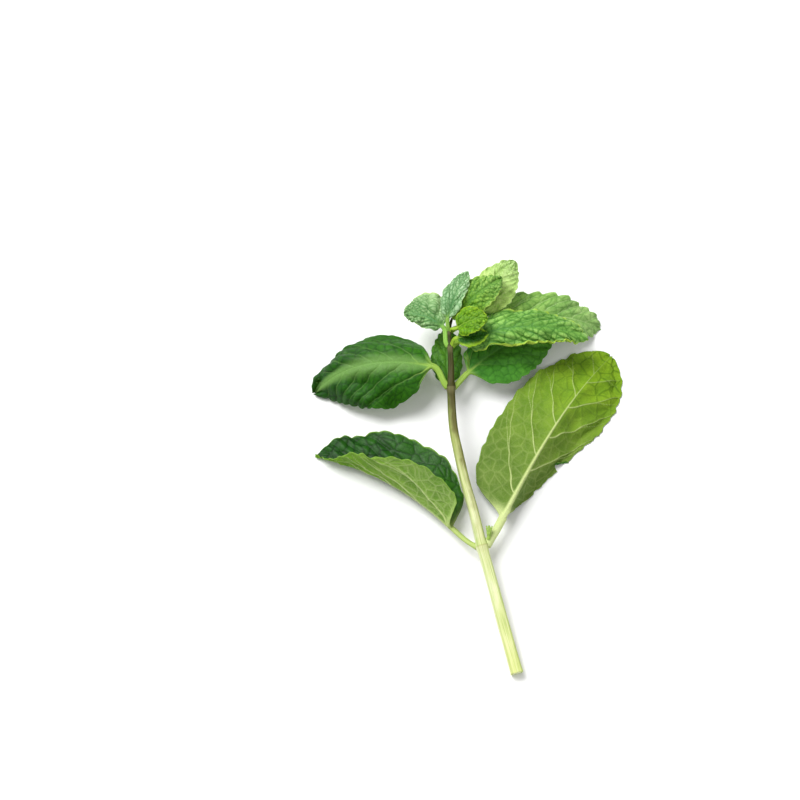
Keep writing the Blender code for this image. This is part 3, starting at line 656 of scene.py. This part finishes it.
def root_of(leaf):
    """Where a leaf's petiole leaves the stem, just inside its skin, and the directions out and along it."""
    if "root" in leaf:
        ahead = direction(leaf["bearing"][0], leaf["rise"][0])
        return leaf["root"], ahead, ahead
    index = NODES[leaf["node"]]
    centre = STEM_LINE[index]
    along = unit(STEM_LINE[min(index + 1, len(STEM_LINE) - 1)] - STEM_LINE[index - 1])
    reach = np.array(leaf["start"]) - centre
    out = unit(reach - np.dot(reach, along) * along)
    return centre + out * STEM_RADIUS[index] * ROOT_DEPTH, out, along


def leaf_line(leaf):
    """The line of a leaf's petiole and midrib, at shares from -1 at the root, by 0 at the blade, to 1."""
    root, out, along = root_of(leaf)
    start = np.array(leaf["start"])
    share = np.linspace(0, 1, LINE_STEPS + 1)
    heading = direction(through(leaf["bearing"], share), through(leaf["rise"], share))
    steps = (heading[1:] + heading[:-1]) / 2 * leaf["length"] / LINE_STEPS
    midrib = start + np.vstack([np.zeros(3), np.cumsum(steps, axis=0)])
    reach = np.linalg.norm(start - root) * PETIOLE_EASE
    leaving, arriving = root + unit(out + PETIOLE_LEAN * along) * reach, start - heading[0] * reach
    t = np.linspace(0, 1, PETIOLE_STEPS, endpoint=False)[:, None]
    petiole = root * (1 - t) ** 3 + 3 * leaving * t * (1 - t) ** 2
    petiole = petiole + 3 * arriving * t**2 * (1 - t) + start * t**3
    shares = np.concatenate([t[:, 0] - 1, share])
    line = np.vstack([petiole, midrib])
    right, up = sides_of(line, np.interp(shares, [0, 1], leaf["roll"]))
    return shares, line, right, up


def petiole_radius(leaf, station):
    """The radius of a petiole, larger by a hill where it leaves the stem."""
    return leaf["petiole_radius"] * (1 + PETIOLE_SWELLING * hill(station + 1, PETIOLE_SWELLING_LENGTH))


def half_width(leaf, along, left):
    """The half width at a share of the length: nothing at both ends, widest where the powers say."""
    near, far = (np.where(left, *powers) for powers in zip(*leaf["outlines"]))
    share = np.clip(along * TIP_SHARE + BASE_SHARE * (1 - along), 0, 1)
    share = share + (POINT_SHARE - TIP_SHARE) * ease(along, POINT_START, 1.0)
    peak = near / (near + far)
    width = share**near * (1 - share) ** far / (peak**near * (1 - peak) ** far)
    return np.where(left, *leaf["half_widths"]) * width


def teeth(leaf, along, out, left):
    """How far forward-pointing teeth move the margin out or in, with a tear's depth taken off where it is."""
    depth, peak = leaf.get("tooth", (TOOTH_DEPTH, TOOTH_PEAK))
    phase = (along * leaf["teeth"]) % 1
    rising, falling = phase / peak, (1 - phase) / (1 - peak)
    tooth = np.where(phase < peak, 1 - (1 - rising) ** TOOTH_BACK, falling**TOOTH_FRONT) - 0.5
    whole = ease(along, 0, 0.1) * ease(along, 1, 0.95)
    moved = depth * leaf["length"] / leaf["teeth"] * whole * tooth * out**6
    if "torn" in leaf:
        torn_left, place, loss = leaf["torn"]
        notch = np.clip(1 - np.abs(along - place) / TEAR_SHARE, 0, 1) ** TEAR_POWER
        moved = moved - loss * notch * (left == torn_left) * out**3
    return moved


def leaf_grid(leaf, stations, across, seed):
    """A leaf's middle surface as a grid of points, with the coordinates of each point in the flat leaf.

    A row leaves the midrib and leans towards the tip. Each half leaves the midrib at its fold angle and bends
    on by its curl. The flat coordinates are the way ahead along the midrib, the way out from it, the share of
    the half width, how far the station is blade and not petiole, and whether it is the left half.
    """
    station, side = np.meshgrid(stations, across, indexing="ij")
    left, out = side < 0, np.abs(side)
    along = np.clip(station, 0, 1)
    lean = SWEEP * along * (1 - along)
    blade = ease(station, BLADE_START, BLADE_END)
    width = (half_width(leaf, along + lean, left) + teeth(leaf, along, out, left)) * blade
    round_width = petiole_radius(leaf, station) * np.sin(np.radians(ROUND_ANGLE) * out) * (1 - blade)
    reach = ((width * out) ** 4 + (round_width + TIP_HALF_WIDTH * out) ** 4) ** 0.25
    opened = np.clip((station - FOLD_START) / (FOLD_END - FOLD_START), 0, 1)
    folds = [base + (tip - base) * along for base, tip in leaf["folds"]]
    fold = np.where(left, *folds) * opened
    curl = np.where(left, *leaf["curls"]) * opened
    roll_up = np.where(left, *leaf.get("rolled", (0, 0))) * ease(along, 0.05, 0.2) * ease(along, 1.0, 0.8)
    sideways, upwards = np.zeros(side.shape), np.zeros(side.shape)
    for step in (np.arange(BEND_STEPS) + 0.5) / BEND_STEPS:
        angle = fold * np.clip(reach * step / FOLD_RADIUS, 0, 1) + curl * out * step
        angle = np.radians(angle + roll_up * ease(out * step, ROLL_START, ROLL_END))
        sideways += np.cos(angle) * reach / BEND_STEPS
        upwards += np.sin(angle) * reach / BEND_STEPS
    height, count, begin = leaf["wave"]
    swing = np.sin(2 * np.pi * count * along + begin + WAVE_SHIFT * ~left)
    crimp = np.sin(2 * np.pi * leaf["teeth"] * along + 3.0 * left)
    begun = np.clip(along / WAVE_START, 0, 1)
    upwards += (height * out**2 * swing + CRIMP_SHARE * height * out**6 * crimp) * begun
    swell, swell_length = leaf["crumple"]
    uneven = ripple(along * leaf["length"] / swell_length, side * reach.max() / swell_length, seed + 100)
    upwards += swell * uneven * ease(out, SWELL_START, SWELL_END) * blade
    shares, *tracks = leaf_line(leaf)
    where = station + lean * out**SWEEP_POWER
    centre, right, up = (
        np.stack([np.interp(where, shares, values) for values in track.T], axis=-1) for track in tracks
    )
    grid = centre + right * (np.sign(side) * sideways)[..., None] + up * upwards[..., None]
    ahead = np.clip(where, -1, 1) * leaf["length"]
    return grid, ahead, reach, out, blade, left


def vein_roots(leaf):
    """Where the side veins of each half leave the midrib, as shares of its length: closer towards the tip."""
    order, count = np.arange(leaf["veins"]), leaf["veins"]
    shifts = (0.0, RIGHT_VEIN_SHIFT)
    return tuple(VEIN_STRETCH * ((order + shift) / count) ** VEIN_CROWDING for shift in shifts)


def net_seeds(leaf, roots, draw):
    """The middles of the net's cells in the flat leaf, as wavering rows that run along the side veins.

    Each gap between two side veins takes as many rows as its width has room for, and at least two.
    """
    length, widest, size = leaf["length"], max(leaf["half_widths"]), leaf["net"]
    steps = np.concatenate([np.arange(-6, 0) * NET_BEFORE, roots, NET_BEYOND])
    gaps = np.diff(steps)
    counts = np.maximum(2, np.round(gaps * length / (NET_ROW_STEP * size)).astype(int))
    rows = [start + gap * (np.arange(n) + 0.5) / n for start, gap, n in zip(steps, gaps, counts)]
    rows = np.concatenate(rows)
    outward = np.arange(0.2, 1.4 * widest / size) * size * NET_CELL_STEP
    row, place = np.meshgrid(rows, outward, indexing="ij")
    shifted = 0.5 * (np.arange(len(rows)) % 2)[:, None]
    place = place + size * (shifted + draw.uniform(-NET_STRAY_OUT, NET_STRAY_OUT, row.shape))
    start, bend = leaf.get("sweep", VEIN_SWEEP)
    ahead = row * length + place * (start + bend * place / widest)
    ahead = ahead + size * draw.uniform(-NET_STRAY_AHEAD, NET_STRAY_AHEAD, row.shape)
    inside = (ahead > -0.1 * length) & (ahead < 1.1 * length) & (place > 0)
    return np.stack([ahead[inside], place[inside]], axis=-1)


def border_distance(points, seeds):
    """How far each point is from the line midway between its two nearest seeds, which bounds their cells."""
    squared = ((points[:, None] - seeds[None]) ** 2).sum(axis=-1)
    pair = np.argpartition(squared, 1, axis=1)[:, :2]
    close = np.take_along_axis(squared, pair, axis=1)
    apart = np.linalg.norm(seeds[pair[:, 0]] - seeds[pair[:, 1]], axis=1)
    return np.abs(close[:, 1] - close[:, 0]) / (2 * apart + 1e-9)


def vein_relief(leaf, ahead, reach, out, left, seed):
    """The strength of the side veins and of the net, the height of the quilting, and its share from 0 to 1.

    A side vein is a line on which the way ahead, less a slope times the way out, is constant, so every point
    has the root of the vein that would pass through it. The net is the border between the cells round the
    seeds that stand in rows between the side veins. The quilting rises away from both.
    """
    length, widest = leaf["length"], max(leaf["half_widths"])
    waver = VEIN_WAVER * length
    swing = WAVER_STRETCH * waver
    ahead = ahead + waver * ripple(ahead / swing, reach / swing, seed)
    draw = np.random.default_rng(seed)
    begin, bend = leaf.get("sweep", VEIN_SWEEP)
    root = (ahead - reach * (begin + bend * reach / widest)) / length
    slope = np.hypot(1, begin + 2 * bend * reach / widest)
    vein_width = leaf.get("vein_width", VEIN_WIDTH) * np.sqrt(length / LARGEST_LENGTH) * (1 - TAPER_OUT * out)
    branch = FORK_SPREAD * np.clip(out - FORK_OUT, 0, 1) ** 1.2
    veins, nearest, net = np.zeros(ahead.shape), np.ones(ahead.shape), np.ones(ahead.shape)
    for half, roots in zip((left, ~left), vein_roots(leaf)):
        for start in roots:
            away = np.abs(root[half] - start) * length / slope[half]
            fork = np.abs(root[half] - start + branch[half]) * length / slope[half]
            width = vein_width[half] * (1 - TAPER_AHEAD * start)
            forked = FORK_SHARE * bell(fork, width * FORK_SHARE) * (out[half] > FORK_OUT)
            veins[half] = np.maximum(veins[half], np.maximum(bell(away, width), forked))
            nearest[half] = np.minimum(nearest[half], away)
        points = np.stack([ahead[half], reach[half]], axis=-1)
        net[half] = border_distance(points, net_seeds(leaf, roots, draw))
    panel_rise = 1 - np.exp(-((nearest / (PANEL_SHOULDER * length / leaf["veins"])) ** PANEL_POWER))
    cell_rise = 1 - np.exp(-((net / (CELL_SHOULDER * leaf["net"])) ** CELL_POWER))
    beside_midrib = 1 - hill(reach, MIDRIB_SHOULDER * widest)
    panel, cell = leaf["quilt"]
    quilt = (panel * panel_rise + cell * cell_rise) * beside_midrib
    rise = (0.5 * panel_rise + 0.5 * cell_rise) * beside_midrib
    return veins, bell(net, min(NET_WIDTH, NET_SHARE * leaf["net"])), quilt, rise


def leaf_faces(rows, columns):
    """The four-sided faces of a blade's upper and lower points, numbered row by row, and of its rim."""
    index = np.arange(rows * columns).reshape(rows, columns)
    lower = np.stack([index[:-1, :-1], index[1:, :-1], index[1:, 1:], index[:-1, 1:]], axis=-1).reshape(-1, 4)
    rim = np.concatenate([index[:, 0], index[-1, 1:], index[-2::-1, -1], index[0, -2:0:-1]])
    following = np.roll(rim, -1)
    below = index.size
    wall = np.stack([rim, following, following + below, rim + below], axis=-1)
    return np.concatenate([lower[:, ::-1], lower + below, wall])


def leaf_skin(leaf, seed):
    """A leaf's points, faces and fields: its veins are sunk in the upper face and raised on the lower one."""
    fineness = SMALL_STEP_SHARE if leaf["length"] < SMALL_LENGTH else 1.0
    rows = int(leaf["length"] / (ROW_STEP * fineness))
    columns = 2 * int(max(leaf["half_widths"]) / (COLUMN_STEP * fineness)) + 1
    stations = np.concatenate([np.linspace(-1, 0, PETIOLE_ROWS, endpoint=False), np.linspace(0, 1, rows)])
    across = np.linspace(-1, 1, columns)
    grid, ahead, reach, out, blade, left = leaf_grid(leaf, stations, across, seed)
    veins, net, quilt, rise = vein_relief(leaf, ahead, reach, out, left, seed)
    normal = unit(np.cross(np.gradient(grid, axis=1), np.gradient(grid, axis=0)))
    grid = grid + normal * (quilt * blade)[..., None]
    grid[..., 2] = np.maximum(grid[..., 2], LOWEST)
    along = np.clip(stations, 0, 1)[:, None]
    radius = petiole_radius(leaf, stations)[:, None]
    rib = radius * np.clip(1 - along / MIDRIB_END, MIDRIB_LEAST, 1) ** MIDRIB_TAPER
    round_height = radius * np.cos(np.radians(ROUND_ANGLE) * out) * (1 - blade)
    edge = blade * (RIM_THICKNESS + (BLADE_THICKNESS - RIM_THICKNESS) * (1 - out**6)) / 2
    midrib = bell(reach, rib)
    size = np.sqrt(leaf["length"] / LARGEST_LENGTH)
    raised = rib * midrib + RAISED_VEIN * size * veins * (1 - midrib)
    raised = raised + RAISED_NET * size * net * (1 - veins)
    sunk = SUNK_MIDRIB * size * np.exp(-reach / (GROOVE_WIDTH * size)) * (1 - along * GROOVE_TAPER)
    sunk = sunk + SUNK_VEIN * size * veins + SUNK_NET * size * net * (1 - veins)
    channel = 1 - CHANNEL * bell(out, CHANNEL_WIDTH)
    upper = grid + normal * (round_height * channel + edge - sunk * blade)[..., None]
    lower = grid - normal * (round_height + edge + raised * blade)[..., None]
    fade = blade * (1 - ease(out, MARGIN_FADE, 1.0))
    marks = np.stack([np.maximum(veins, midrib) * fade + (1 - blade), net * fade, rise], axis=-1)
    station = np.broadcast_to(stations[:, None], out.shape)
    apart = np.full(out.shape, seed * PLAN_STEP)
    flat = np.stack([ahead, np.where(left, -reach, reach), apart], axis=-1) * 1000
    points, relief, place, plan = [], [], [], []
    for face, upside in ((upper, 1.0), (lower, 0.0)):
        face[..., 2] = np.maximum(face[..., 2], CLEARANCE)
        points.append(face.reshape(-1, 3))
        relief.append(marks.reshape(-1, 3))
        place.append(np.stack([station, np.full(out.shape, upside), out], axis=-1).reshape(-1, 3))
        plan.append(flat.reshape(-1, 3))
    fields = dict(relief=np.vstack(relief), place=np.vstack(place), plan=np.vstack(plan))
    return np.vstack(points), leaf_faces(*out.shape), fields


TISSUE_COLOURS = (
    "Upper Base", "Upper Tip", "Under Base", "Under Tip", "Upper Vein", "Under Vein", "Stalk", "Rim"
)
TISSUE_NUMBERS = (
    "Crease Shade", "Upper Vein Share", "Under Vein Share", "Under Net Share", "Midrib Highlight Share", "Rim Width",
    "Roughness",
)


def tissue_group():
    """Leaf tissue: the colour, roughness and fine height of a blade from its own marks and plan, with painted
    shade in its creases, hollow cells and net and a painted highlight along the midrib.
    """
    tree = bpy.data.node_groups.new("leaf_tissue", "ShaderNodeTree")
    sockets = [(name, "INPUT", "Color") for name in TISSUE_COLOURS]
    sockets += [(name, "INPUT", "Float") for name in TISSUE_NUMBERS]
    sockets += [(name, "OUTPUT", "Color") for name in ("Color", "Glow")]
    sockets += [(name, "OUTPUT", "Float") for name in ("Roughness", "Height")]
    for name, way, kind in sockets:
        tree.interface.new_socket(name, in_out=way, socket_type="NodeSocket" + kind)
    given = tree.nodes.new("NodeGroupInput").outputs
    vein, net, rise = attribute_parts(tree, "relief")
    station, upside, out = attribute_parts(tree, "place")
    blade = ranged(tree, station, BLADE_START, BLADE_END)
    plan = attribute(tree, "plan")
    mottle = noise(tree, plan, 0.14, 4.0, 0.6)
    grain = noise(tree, plan, 2.6, 3.0, 0.65)
    cells = dict(Vector=plan, Scale=0.52, Randomness=0.9)
    threads = put(tree, "ShaderNodeTexVoronoi", {"feature": "DISTANCE_TO_EDGE"}, **cells)
    threads = ranged(tree, threads.outputs["Distance"], 0.09, 0.0)
    glands = put(tree, "ShaderNodeTexVoronoi", {"feature": "F1"}, Vector=plan, Scale=1.9)
    glands = ranged(tree, glands.outputs["Distance"], 0.16, 0.10)
    lines = maths(tree, "MAXIMUM", net, times(tree, threads, 0.5))

    above = mixed(tree, ranged(tree, station, 0.0, 1.0), given["Upper Base"], given["Upper Tip"])
    above = tinted(tree, ranged(tree, mottle, 0.62, 0.38), above, colour(214, 228, 216))
    # Painted shade: the upper side is darkened and cooled in the creases between its quilted panels and
    # cells, and along its sunk net lines, by the crease share.
    painted_crease_shade = times(tree, ranged(tree, rise, 0.85, 0.10), given["Crease Shade"])
    above = tinted(tree, painted_crease_shade, above, colour(176, 204, 170))
    above = tinted(tree, times(tree, lines, given["Crease Shade"]), above, colour(150, 186, 146))
    above = mixed(tree, times(tree, vein, given["Upper Vein Share"]), above, given["Upper Vein"])
    # Painted highlight: a pale band along the midrib on the upper side, standing for light on the ridge of an
    # arched blade; its strength is the middle share.
    middle = times(tree, ranged(tree, out, 0.34, 0.04), given["Midrib Highlight Share"])
    above = mixed(tree, middle, above, given["Upper Vein"])

    below = mixed(tree, ranged(tree, station, 0.1, 0.95), given["Under Base"], given["Under Tip"])
    below = tinted(tree, ranged(tree, mottle, 0.62, 0.38), below, colour(222, 232, 210))
    # Painted shade: the underside darkens in the middles of its cells, which are hollow on that side.
    below = tinted(tree, ranged(tree, rise, 0.2, 0.95, 0.0, 0.35), below, colour(206, 220, 196))
    pale_net = times(tree, lines, given["Under Net Share"])
    pale_net = times(tree, pale_net, ranged(tree, station, 0.25, 0.8, 1.0, 0.0))
    below = mixed(tree, pale_net, below, given["Under Vein"])
    # Painted shade: the net's lines are darkened on the underside towards the tip.
    painted_net_shade = maths(tree, "MAXIMUM", net, times(tree, threads, 0.35))
    painted_net_shade = times(tree, painted_net_shade, ranged(tree, station, 0.35, 0.9))
    below = tinted(tree, times(tree, painted_net_shade, 0.9), below, colour(172, 188, 118))
    vein_share = times(tree, vein, given["Under Vein Share"])
    vein_share = times(tree, vein_share, ranged(tree, out, 0.1, 1.0, 1.0, 0.55))
    vein_share = times(tree, vein_share, ranged(tree, station, 0.5, 1.0, 1.0, 0.4))
    below = mixed(tree, vein_share, below, given["Under Vein"])

    shade = mixed(tree, upside, below, above)
    # A paler margin: the leaf's own lime edge; where the rim is made wide, as on leaf_6_front, it is also
    # painted light on a lit flap.
    rim_start = maths(tree, "SUBTRACT", 1.0, given["Rim Width"])
    rim = ranged(tree, out, rim_start, 1.0, 0.0, 0.85)
    shade = mixed(tree, times(tree, rim, blade), shade, given["Rim"])
    stalk = times(tree, ranged(tree, station, 0.22, -0.04), vein)
    shade = mixed(tree, stalk, shade, given["Stalk"])
    shade = tinted(tree, 1.0, shade, grey(tree, ranged(tree, grain, 0.3, 0.7, 0.88, 1.12)))
    glow = mixed(tree, 0.6, shade, colour(176, 210, 50))
    roughness = plus(tree, given["Roughness"], ranged(tree, grain, 0.3, 0.7, 0.05, -0.05))
    roughness = plus(tree, roughness, ranged(tree, upside, 0.0, 1.0, 0.16, 0.0))
    height = times(tree, threads, ranged(tree, upside, 0.0, 1.0, 0.6, -0.6))
    height = plus(tree, height, times(tree, grain, 0.9))
    height = maths(tree, "SUBTRACT", height, times(tree, glands, 0.4))
    put(tree, "NodeGroupOutput", Color=shade, Glow=glow, Roughness=roughness, Height=height)
    return tree


TISSUE = tissue_group()
LIGHT_THROUGH = 0.22
FINISHES = {}


def finish(name, upper, under, veins, stalk, rim, numbers):
    """Notes the eight colours and the seven numbers that a leaf's tissue takes."""
    shades = (*upper, *under, *veins, stalk, rim)
    FINISHES[name] = [colour(*shade) for shade in shades], numbers


# Painted light: leaf_1_right's underside turns lime towards its tip, for light shining through it there.
#       upper side, base and tip; under side, base and tip; veins above and below; stalk; rim; numbers
finish("leaf_1_right", ((62, 118, 34), (80, 128, 34)), ((110, 138, 54), (136, 174, 30)),
       ((110, 155, 60), (206, 220, 146)), (214, 226, 158), (130, 162, 60),
       (0.6, 0.2, 0.95, 0.14, 0.0, 0.03, 0.56))
finish("leaf_1_left", ((44, 98, 14), (34, 92, 12)), ((132, 168, 72), (120, 172, 26)),
       ((30, 76, 18), (220, 232, 166)), (186, 206, 118), (136, 178, 66),
       (1.0, 0.5, 1.0, 0.24, 0.0, 0.035, 0.46))
finish("leaf_2_left", ((52, 114, 10), (28, 86, 6)), ((140, 170, 90), (130, 165, 70)),
       ((128, 174, 88), (200, 215, 150)), (150, 186, 76), (60, 122, 30),
       (0.8, 0.50, 0.7, 0.2, 0.60, 0.04, 0.52))
finish("leaf_2_right", ((72, 142, 42), (108, 178, 56)), ((140, 170, 90), (130, 165, 70)),
       ((118, 172, 84), (200, 215, 150)), (156, 188, 84), (94, 156, 58),
       (0.6, 0.3, 0.7, 0.2, 0.1, 0.04, 0.50))
finish("leaf_2_axil", ((74, 128, 24), (102, 160, 50)), ((140, 170, 90), (130, 165, 70)),
       ((110, 160, 70), (200, 215, 150)), (140, 182, 50), (80, 140, 50),
       (0.6, 0.3, 0.7, 0.2, 0.1, 0.04, 0.50))
# Partly painted highlight: the crown's leaves from leaf_3_right to leaf_5_front take pale upper colours,
# their own lighter young tone raised further to stand for the light they catch.
finish("leaf_3_right", ((152, 203, 98), (171, 213, 113)), ((200, 224, 90), (190, 220, 76)),
       ((70, 128, 56), (205, 222, 140)), (150, 190, 60), (184, 216, 76),
       (0.9, 0.8, 0.6, 0.2, 0.0, 0.12, 0.46))
finish("leaf_3_left", ((174, 206, 148), (188, 216, 162)), ((150, 190, 110), (150, 190, 90)),
       ((84, 144, 90), (205, 222, 150)), (140, 190, 80), (186, 216, 120),
       (0.9, 0.8, 0.6, 0.2, 0.0, 0.07, 0.48))
finish("leaf_4_left", ((178, 212, 164), (200, 226, 184)), ((150, 190, 110), (150, 190, 90)),
       ((70, 128, 76), (205, 222, 150)), (150, 194, 90), (186, 216, 150),
       (0.9, 0.9, 0.6, 0.2, 0.0, 0.06, 0.48))
finish("leaf_4_right", ((148, 192, 84), (172, 208, 126)), ((150, 180, 100), (150, 180, 90)),
       ((196, 222, 156), (205, 222, 150)), (150, 190, 60), (164, 204, 110),
       (0.5, 0.6, 0.6, 0.2, 0.0, 0.04, 0.54))
finish("leaf_5_back", ((130, 180, 90), (150, 200, 110)), ((208, 236, 132), (196, 224, 152)),
       ((150, 196, 90), (222, 236, 166)), (150, 190, 60), (200, 222, 150),
       (0.6, 0.4, 0.4, 0.2, 0.0, 0.06, 0.56))
finish("leaf_5_front", ((134, 182, 52), (170, 206, 108)), ((150, 190, 80), (150, 190, 80)),
       ((96, 150, 50), (205, 222, 130)), (150, 190, 60), (186, 216, 104),
       (0.9, 0.4, 0.6, 0.2, 0.0, 0.08, 0.48))
finish("leaf_6_right", ((122, 172, 20), (150, 192, 50)), ((160, 200, 60), (160, 200, 60)),
       ((178, 208, 84), (205, 222, 110)), (160, 196, 60), (176, 208, 56),
       (0.8, 0.4, 0.6, 0.2, 0.0, 0.10, 0.48))
# Painted light: leaf_6_front's wide rim is its pale edge and also painted light on its lit near flap.
finish("leaf_6_front", ((46, 104, 20), (60, 120, 28)), ((150, 196, 50), (150, 196, 50)),
       ((90, 150, 50), (205, 222, 110)), (160, 196, 60), (164, 206, 44),
       (0.6, 0.4, 0.6, 0.2, 0.0, 0.45, 0.46))


def leaf_material(name, shades, numbers):
    """A blade's material: soft glossy tissue that also lets some light through."""
    made, tree = new_material(name)
    tissue = put(tree, "ShaderNodeGroup", {"node_tree": TISSUE})
    for socket, value in zip(TISSUE_COLOURS + TISSUE_NUMBERS, (*shades, *numbers)):
        tissue.inputs[socket].default_value = value
    shade, glow, roughness, height = tissue.outputs
    bump = put(tree, "ShaderNodeBump", Strength=0.7, Distance=0.00007, Height=height)
    normal = bump.outputs["Normal"]
    look = dict(Base_Color=shade, Roughness=roughness, Normal=normal, Specular_IOR_Level=0.22)
    surface = put(tree, "ShaderNodeBsdfPrincipled", **look)
    through_light = put(tree, "ShaderNodeBsdfTranslucent", Color=glow, Normal=normal)
    both = put(tree, "ShaderNodeMixShader", Fac=LIGHT_THROUGH)
    give(tree, both.inputs[1], surface.outputs["BSDF"])
    give(tree, both.inputs[2], through_light.outputs["BSDF"])
    put(tree, "ShaderNodeOutputMaterial", Surface=both.outputs[0])
    return made


for number, (node_name, leaf) in enumerate(LEAVES.items()):
    points, faces, fields = leaf_skin(leaf, number + 1)
    piece = skin("mint_" + node_name, points, faces, **fields)
    piece.data.materials.append(leaf_material(node_name + "_tissue", *FINISHES[node_name]))
    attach(piece, "root")
    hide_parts(node_name)

# ---------------------------------------------------------------------------------------------------------
# The two buds: the growing tip of the sprig and a young shoot in the angle of the lowest right leaf. Each is
# a tight cluster of small folded leaves, two and two across each other, grown together at their base.
# ---------------------------------------------------------------------------------------------------------
BUDS = {
    "bud_tip": dict(base=(-0.0040, 0.0507, 0.0154), bearing=35, rise=36, length=0.0034, radius=0.0008),
    "bud_axil": dict(base=(0.0063, -0.0231, 0.0073), bearing=2, rise=24, length=0.0042, radius=0.0006),
}
BUD_LEAVES = (  # which way a leaf leans from the bud's axis, how far, and its length as a share of the bud's
    (0, 15, 0.8), (180, 15, 0.8), (90, 8, 0.8), (270, 8, 0.8), (45, 4, 0.7), (225, 4, 0.7)
)
BUD_ROOT, BUD_BLADE = 0.02, 0.1  # where its leaves' stalks and blades start, as shares of its length
BUD_LEAF_WIDTH, BUD_STALK = 1.3, 0.4  # half a leaf's width and its stalk's radius, as shares of its radius
BUD_SEED = 40
finish("bud", ((132, 182, 62), (160, 204, 84)), ((160, 198, 92), (182, 212, 112)),
       ((96, 150, 52), (206, 224, 140)), (168, 200, 92), (184, 214, 104),
       (0.8, 0.4, 0.5, 0.2, 0.0, 0.15, 0.44))


def bud_leaf(bud, turn, spread, share):
    """The values of one folded leaf of a bud, leaning out from its axis to the side that the turn says."""
    base, axis = np.array(bud["base"]), direction(bud["bearing"], bud["rise"])
    lean = np.radians(turn)
    heading = (bud["bearing"] + spread * np.cos(lean), bud["rise"] + spread * np.sin(lean))
    return dict(
        root=base + axis * bud["length"] * BUD_ROOT,
        start=base + axis * bud["length"] * BUD_BLADE + direction(*heading) * bud["radius"],
        bearing=(heading[0],) * 3, rise=(heading[1],) * 3, roll=(90 + turn,) * 2,
        length=bud["length"] * share, half_widths=(bud["radius"] * BUD_LEAF_WIDTH,) * 2,
        folds=((25, 25), (25, 25)), curls=(15, 15), wave=(0, 0, 0), outlines=((0.6, 0.8), (0.6, 0.8)),
        teeth=3, petiole_radius=bud["radius"] * BUD_STALK,
        veins=3, net=0.0006, quilt=(0.00008, 0.00003), crumple=(0.00005, 0.002),
    )


bud_tissue = leaf_material("bud_tissue", *FINISHES["bud"])
for node_name, bud in BUDS.items():
    skins = [leaf_skin(bud_leaf(bud, *leaf), BUD_SEED + leaf[0]) for leaf in BUD_LEAVES]
    points, faces, fields = zip(*skins)
    offsets = np.cumsum([0] + [len(part) for part in points[:-1]])
    faces = np.vstack([part + offset for part, offset in zip(faces, offsets)])
    fields = {key: np.vstack([part[key] for part in fields]) for key in fields[0]}
    piece = skin("mint_" + node_name, np.vstack(points), faces, **fields)
    piece.data.materials.append(bud_tissue)
    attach(piece, "root")
    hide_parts(node_name)
